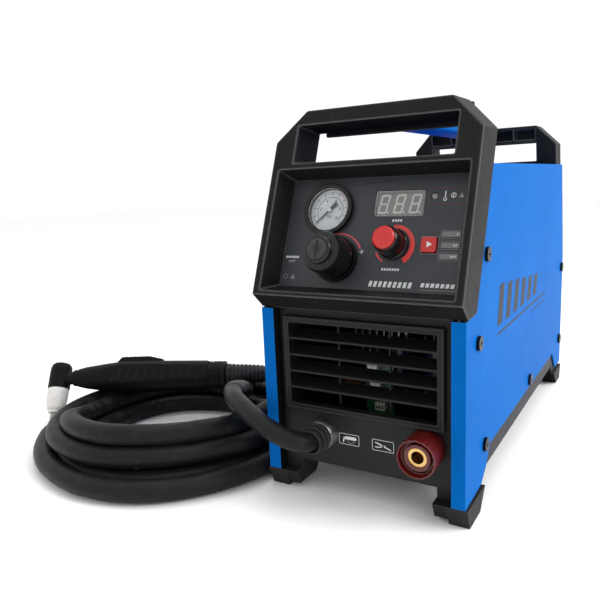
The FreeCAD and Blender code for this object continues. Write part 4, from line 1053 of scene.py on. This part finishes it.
def grille():
    """The air grille: a bordered frame, four sloping slats with rounded lips, and uprights behind them."""
    shape = Shape()
    border = [(0.4, 9), (0, 8.4), (0, 4.2), (0.5, 3.7), (1.3, 3.7), (1.6, 4.2), (4.0, 4.2), (4.2, 3.6),
              (4.7, 3.6), (5.0, 4.2), (5.2, 10), (3.6, 10), (3.6, 9)]
    border = [(inset, FRONT + depth) for inset, depth in border]
    shape.moulding((-63.5, 67.5), (63.5, 141), border, GRILLE_PLASTIC)
    slat = [(4.5, 0.5), (4.9, 0), (6.4, 0.1), (16, 5.0), (15.6, 6.6), (12, 4.7), (8.4, 3.2), (6, 2.4),
            (4.9, 1.9), (4.5, 1.4)]
    for n in range(4):
        z = 84.0 + 12.95 * n
        shape.prism([(FRONT + y, z + up) for y, up in slat], -58.6, 58.6, GRILLE_PLASTIC, "X")
    for x in (-21, 20):
        shape.box((x - 0.6, FRONT + 14, 72.6), (x + 0.6, FRONT + 17, 136), GRILLE_PLASTIC)
    for x in (-59.4, 59.4):
        shape.box((x - 0.9, FRONT + 9.5, 72), (x + 0.9, FRONT + 20, 136.5), GRILLE_PLASTIC)
    shape.piece("air_grille", "case", ("louvre_grille",), edge=0.2)


def carrying_rail():
    """The blue lengthwise tube between the two handles, on a black plate behind the front one."""
    low, high = (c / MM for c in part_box("carry_rail"))
    half, tall, wall = 15, 14, 2
    tube_low = high.z - tall
    shape = Shape()
    outside = rounded_box((-half, tube_low), (half, high.z), 4, 8)
    inside = rounded_box((wall - half, tube_low + wall), (half - wall, high.z - wall), 2.4, 8)
    shape.band(outside, inside, low.y, high.y, PAINT)
    shape.piece("rail_tube", "case", edge=0.2)
    plate = Shape()
    plate.prism(rounded_box((low.x, low.z), (high.x, high.z), 1.5), low.y, low.y + 2, CASE_PLASTIC)
    screw = [(0, 3.4), (1.6, 3.4), (2.6, 2.8), (2.8, 2), (0, 2)]
    for x in (-24, 24):
        plate.lathe(screw, BLACK_STEEL, "Y", (x, low.y, tube_low + 7), 24)
    plate.piece("rail_plate", "case", ("carry_rail",), edge=0.3)


def pictograms():
    """Framed signs on the lower panel: the torch over its lead, the clamp over its socket."""
    ink = (PANEL_FACE - 0.08, PANEL_FACE)
    shape = Shape()

    def draw(outline, look=WHITE_INK):
        shape.prism(outline, *ink, look)

    for low, high in (((-20.5, 43.2), (-3.6, 51.9)), ((7.0, 43.2), (24.3, 51.9))):
        shape.band(*frame_line(low, high, 1.2, 0.35), *ink, WHITE_INK)
    draw([(-15.5, 47.4), (-6.6, 47.4), (-5.6, 48.2), (-6.6, 49.9), (-14.2, 49.9), (-16.2, 49.0)])
    draw([(-17.4, 44.7), (-16.6, 44.7), (-15.2, 49.2), (-16.6, 49.2)])
    draw(arc_band((-10.5, 47.6), 3.3, 2.8, 180, 350, 12), GREY_INK)
    draw([(9.4, 49.2), (16.0, 46.9), (21.8, 44.6), (22.2, 45.3), (16.2, 47.9), (9.7, 49.9)])
    draw([(9.4, 45.6), (12.6, 45.6), (17.6, 47.6), (17.2, 48.3), (12.4, 46.3), (9.4, 46.3)])
    draw(circle(0.7, 12, (15.4, 47.4)), GREY_INK)
    shape.piece("panel_signs", "case")


# ---------------------------------------------------------------- sides and back
def side_bars(name, side):
    """A plain decal on a side panel: six slanted bars, each lower than the last, over two thin lines."""
    face = HALF * side
    depths = (face, face + 0.08 * side)
    shape = Shape()

    bars = [bar(-112 + 26.5 * n, 127, 15, 31 - 2.4 * n, 7) for n in range(6)]
    for outline in bars + [bar(-112, 119.6, 194, 1.8, 2), bar(18, 112.8, 62, 1.2, 1)]:
        shape.prism([(y * side, z) for y, z in outline], *depths, DECAL, "X")
    shape.piece(name, "case")


def fan_guard():
    """Five wire rings on four spokes, bright zinc, with eyelets under the screws."""
    centre, screw, wire, start = REAR + 1.6, 41.25, 0.95, 8.5
    shape = Shape()
    for radius in (12, 20, 28, 36, 44):
        loop = [(x, centre, z) for x, z in circle(radius, 72, (0, FAN_HEIGHT))]
        shape.tube(loop, wire, ZINC, 10, closed=True)
    for x, z in ((-1, -1), (-1, 1), (1, -1), (1, 1)):
        reaches = [start + (screw - start - 3) * n / 8 for n in range(9)]
        spoke = [(x * reach, centre - 1.2, FAN_HEIGHT + z * reach) for reach in reaches]
        shape.tube(spoke, wire, ZINC, 10)
        eye = circle(3.1, 28, (x * screw, FAN_HEIGHT + z * screw))
        shape.tube([(a, centre - 1.2, b) for a, b in eye], 0.9, ZINC, 10, closed=True)
    shape.piece("wire_guard", "case", ("fan_guard",))


def fan_rotor():
    """Seven curved blades on a hub."""
    shape = Shape(placed(0, REAR - 17.5, FAN_HEIGHT))
    shape.lathe([(0, -7.5), (17.5, -7.5), (18.8, -6.6), (19, -5.6), (19, 7.2), (18.2, 7.5), (0, 7.5)],
                GRILLE_PLASTIC, "Y", segments=56)
    shape.lathe([(0, -7.8), (2, -7.8), (2, 12.4), (0, 12.4)], ZINC, "Y", segments=16)
    blades, spans, chords = 7, 8, 8
    root, reach = 18.2, 24
    for blade in range(blades):
        points = []
        for face in (-0.55, 0.55):
            for s in range(spans + 1):
                radius = root + reach * s / spans
                width = math.radians(38 + 8 * s / spans) * (19 / radius) ** 0.35
                for c in range(chords + 1):
                    share = c / chords - 0.5
                    angle = math.tau * blade / blades + width * share + 0.10 * s / spans
                    camber = 12.6 * share + 2.2 * math.cos(math.pi * share)
                    depth = camber + face * (1 - 1.2 * share * share)
                    points.append((radius * math.cos(angle), depth, radius * math.sin(angle)))
        layer = (spans + 1) * (chords + 1)
        faces = []
        for s in range(spans):
            for c in range(chords):
                a = s * (chords + 1) + c
                quad = (a, a + 1, a + chords + 2, a + chords + 1)
                faces += [quad, tuple(n + layer for n in quad)]
        rim = list(range(chords + 1))
        rim += [s * (chords + 1) + chords for s in range(1, spans + 1)]
        rim += [spans * (chords + 1) + c for c in range(chords - 1, -1, -1)]
        rim += [s * (chords + 1) for s in range(spans - 1, 0, -1)]
        faces += [(a, b, b + layer, a + layer) for a, b in zip(rim, rim[1:] + rim[:1])]
        shape.add(points, faces, GRILLE_PLASTIC)
    shape.piece("fan_blades", "fan_rotor", ("fan_rotor",))


def mains_gland():
    """The nylon mains gland: hexagon, ribbed dome nut and its bore."""
    shape = Shape(BACK @ Matrix.Translation((MAINS[0], 0, MAINS[1])))
    half_flats = 11.4

    def hexagon(angle, height, radius):
        if radius < 12.5:
            return 0.0
        flat = half_flats / math.cos((angle % (math.pi / 3)) - math.pi / 6)
        return min(radius, flat) - radius

    collar = [(4.6, 6.4), (4.6, 0.3), (13, 0.3), (13, 6.3)]
    shape.lathe(collar, GRILLE_PLASTIC, "Y", segments=96, ripple=hexagon)
    dome = [(4.5, 22.2), (4.5, 6.0), (12, 6.2), (11.8, 9), (10.9, 14), (9.4, 19), (7.6, 21.6), (6, 22.2)]
    shape.lathe(dome, GRILLE_PLASTIC, "Y", segments=96, ripple=fluted(16, 0.5, 4, least=8.4))
    shape.lathe([(4.5, 1), (4.5, -15), (10, -15), (10, 1)], GRILLE_PLASTIC, "Y")
    shape.piece("mains_fitting", "case", ("mains_gland",), crease=30)


def rocker_marks():
    """The on and off marks on the power rocker: a bar on its raised upper half, a ring on its lower half."""
    lean = math.atan2(3.2, 11.2)
    shape = Shape(BACK @ Matrix.Translation((0, 2.78, 69.2)) @ Matrix.Rotation(-lean, 4, "X"))
    shape.prism(bar(ROCKER - 0.4, -2.4, 0.8, 4.8), -0.25, 0.12, WHITE_INK)
    shape.place = BACK
    shape.band(*ring(2.4, 1.7, 28, (ROCKER, 56.5)), 0.9, 1.15, WHITE_INK)
    shape.piece("rocker_signs", "power_rocker")


# ---------------------------------------------------------------- inside, behind the grille
def components():
    """Small parts: pin connectors and blocks on the main board, and a card with three connectors behind the
    grille."""
    shape = Shape()
    random.seed(7)
    for n in range(5):
        x = -52 + n * 26
        shape.box((x, FRONT + 64, BOARD_TOP), (x + 12, FRONT + 70, BOARD_TOP + 9), CREAM)
        for pin in range(4):
            low = (x + 1.6 + pin * 2.6, FRONT + 63.2, BOARD_TOP + 2.5)
            shape.box(low, (low[0] + 1, FRONT + 64.2, low[2] + 4), ZINC)
    for n in range(10):
        x, y = -58 + 12.4 * n, FRONT + 258 + random.uniform(-2, 2)
        height = random.uniform(6, 14)
        shape.box((x, y - 4, BOARD_TOP), (x + 7, y, BOARD_TOP + height), CAN if n % 3 else CREAM)
    shape.box((-13, CARD, 50), (10, CARD + 1.6, 104), BOARD)
    shape.box((-4, CARD + 1.6, 25.6), (4, CARD + 3, 62), ZINC)
    for x, z in ((-9.3, 92.8), (-7.1, 78.4), (-3.4, 62.6)):
        shape.box((x, CARD - 6, z), (x + 8.4, CARD, z + 6.4), CREAM)
        for pin in range(3):
            left = x + 1.2 + 2.4 * pin
            shape.box((left, CARD - 6.5, z + 1.6), (left + 1.2, CARD - 6, z + 4.8), ZINC)
    shape.piece("board_components", "case", edge=0.3)


# ---------------------------------------------------------------- torch
def torch_head():
    """The torch's grooved neck, its ring nut, and the round head with its domed top."""
    shape = Shape(TORCH)
    wide, narrow = 6.8, 6.1
    neck = [(0, -6), (6.2, -6), (6.7, -2), (6.7, 2.5)]
    for start in (3.1, 7.6, 12.1):
        neck += [(narrow, start), (narrow, start + 1.1), (wide, start + 1.7), (wide, start + 3.9)]
    neck[-1] = (wide, 21.4)
    shape.lathe(neck + [(0, 21.4)], GRIP_RUBBER, "X", segments=40)
    nut = [(0, 15.6), (8.0, 15.6), (8.6, 16.2), (8.6, 20.4), (8.2, 20.9), (0, 20.9)]
    shape.lathe(nut, GRIP_RUBBER, "X", segments=60, ripple=fluted(12, 0.35, 2))
    barrel = [(4.6, -11.6), (10.4, -11.6), (10.9, -11.2), (11, -10.4), (11, -4), (11.15, 2), (11, 8),
              (10.6, 11.4), (9.6, 13.8), (8.0, 15.4), (5.2, 16.4), (0.01, 16.6), (0.01, -4), (4.6, -4)]
    shape.lathe(barrel, GRIP_RUBBER, "Z", segments=56)
    shape.piece("torch_head_body", "case", ("torch_head",), crease=32)


def torch_consumables():
    """The ceramic cup, a little barrel-shaped, and the slotted metal tip."""
    cup = Shape(TORCH)
    wall = [(4.7, -11.9), (10.2, -11.9), (10.55, -12.4), (10.6, -16), (10.5, -21), (10.1, -26), (9.3, -31),
            (8.4, -34.2), (7.3, -34.7), (7.1, -37.1), (6.7, -37.5), (4.7, -37.5)]
    cup.lathe(wall, CERAMIC, "Z", segments=64)
    cup.piece("ceramic_cup", "case", ("shield_cup",), crease=50)
    tip = Shape(TORCH)
    wall = [(0.7, -6), (4.2, -6), (4.25, -38), (4.3, -43), (4.0, -44.2), (3.2, -45.7), (2.7, -46), (0.7, -46)]
    tip.lathe(wall, TIP_METAL, "Z", segments=64, ripple=fluted(8, 0.5, 4, least=3, low=-44.5, high=-38))
    tip.piece("torch_tip", "case", ("cutting_tip",), crease=40)


def torch_rear():
    """The clamping collar behind the grip and the creased rubber boot."""
    collar = Shape(TORCH)
    profile = [(10.7, 160.4), (13.4, 160.4), (14.1, 161.2), (14.2, 163), (13.7, 163.6), (13.7, 164.6),
               (14.2, 165.2), (14.2, 173.4), (13.7, 174), (13.7, 175), (14.1, 175.6), (14, 177.5),
               (13.3, 178.3), (10.7, 178.3)]
    collar.lathe(profile, GRIP_RUBBER, "X", segments=64, ripple=fluted(16, 0.3, 3, least=14.15))
    collar.piece("collar_ring", "case", ("torch_collar",), crease=34)

    boot = Shape(TORCH)
    inside_grip = 180

    def creases(angle, height, radius):
        uneven = noise.noise(Vector((height * 0.09, 1.4 * math.cos(angle), 1.4 * math.sin(angle))))
        return 0.7 * uneven if height > inside_grip else 0.0

    profile = [(8.0, 162), (10.2, 162), (10.3, 178.4), (10.9, 178.8), (11.2, inside_grip)]
    ribs = 9
    for n in range(ribs):
        start = 181 + n * 4.2
        size = 11.2 - 2.0 * n / (ribs - 1)
        profile += [(size, start), (size, start + 1.9), (size - 1.0, start + 2.5), (size - 1.0, start + 3.6)]
    profile += [(8.8, 219.2), (8.5, 219.9), (8.0, 219.9)]
    boot.lathe(profile, BOOT_RUBBER, "X", segments=56, ripple=creases)
    return boot.piece("lead_boot", "case", ("torch_boot",), crease=60)


def grip_details():
    """Slanted ribs and three screws on each cheek of the grip, and the ribs across the trigger."""
    shape = Shape(TORCH)
    screw = [(0, 14.35), (1.6, 14.35), (2.2, 14.1), (2.2, 13.6), (0, 13.6)]
    for side in (-1, 1):
        face = 13.9 * side
        for n in range(9):
            shape.prism(bar(66 + 9.2 * n, -6.5, 2.6, 11.3, 2.8), face, face + 0.55 * side, GRIP_RUBBER)
        for x, z in ((62, -6.5), (150, 4.5), (150, -6.5)):
            shape.lathe([(r, h * side) for r, h in screw], BLACK_STEEL, "Y", (x, 0, z), 20)
    shape.piece("grip_ribs", "case", edge=0.12)
    lever = Shape(TORCH)
    for n in range(6):
        x = 70 + 4.3 * n
        lever.box((x, -4.6, 20.2), (x + 1.5, 4.6, 21.1), GRIP_RUBBER)
    lever.piece("trigger_ribs", "torch_trigger", edge=0.3)


gauge_marks()
gauge_pointer()
display_digits()
panel_print()
front_lamps()
button_mark()
knob_marks()
work_socket()
relief = torch_gland()
grille()
carrying_rail()
pictograms()
side_bars("side_bars_right", 1)
side_bars("side_bars_left", -1)
fan_guard()
fan_rotor()
mains_gland()
rocker_marks()
components()
torch_head()
torch_consumables()
boot = torch_rear()
grip_details()


# ---------------------------------------------------------------- studio
def add_floor():
    """A floor a hair below the feet, wide enough to fill the view."""
    size = 6.0
    data = bpy.data.meshes.new("floor")
    corners = [(-size, -size, 0), (size, -size, 0), (size, size, 0), (-size, size, 0)]
    data.from_pydata(corners, [], [(0, 1, 2, 3)])
    data.materials.append(floor_finish())
    floor = bpy.data.objects.new("floor", data)
    floor.location.z = -0.0002
    bpy.context.scene.collection.objects.link(floor)


def add_light(name, place, towards, size, power):
    """A square softbox with its middle at place."""
    data = bpy.data.lights.new(name, "AREA")
    data.size = size
    data.energy = power
    light = bpy.data.objects.new(name, data)
    light.location = place
    light.rotation_euler = (Vector(towards) - Vector(place)).to_track_quat("-Z", "Y").to_euler()
    bpy.context.scene.collection.objects.link(light)


def add_surroundings():
    """An even white room."""
    world = bpy.data.worlds.new("studio")
    world.use_nodes = True
    background = world.node_tree.nodes["Background"]
    background.inputs["Color"].default_value = (1, 1, 1, 1)
    background.inputs["Strength"].default_value = 1.06
    bpy.context.scene.world = world


add_floor()
add_light("key", (1.7, 0.2, 1.3), (0, 0, 0.15), 1.2, 36)
add_light("top", (-0.1, 0.1, 1.9), (0, 0, 0.1), 1.4, 10)
add_surroundings()
bpy.context.scene.view_settings.view_transform = "Standard"
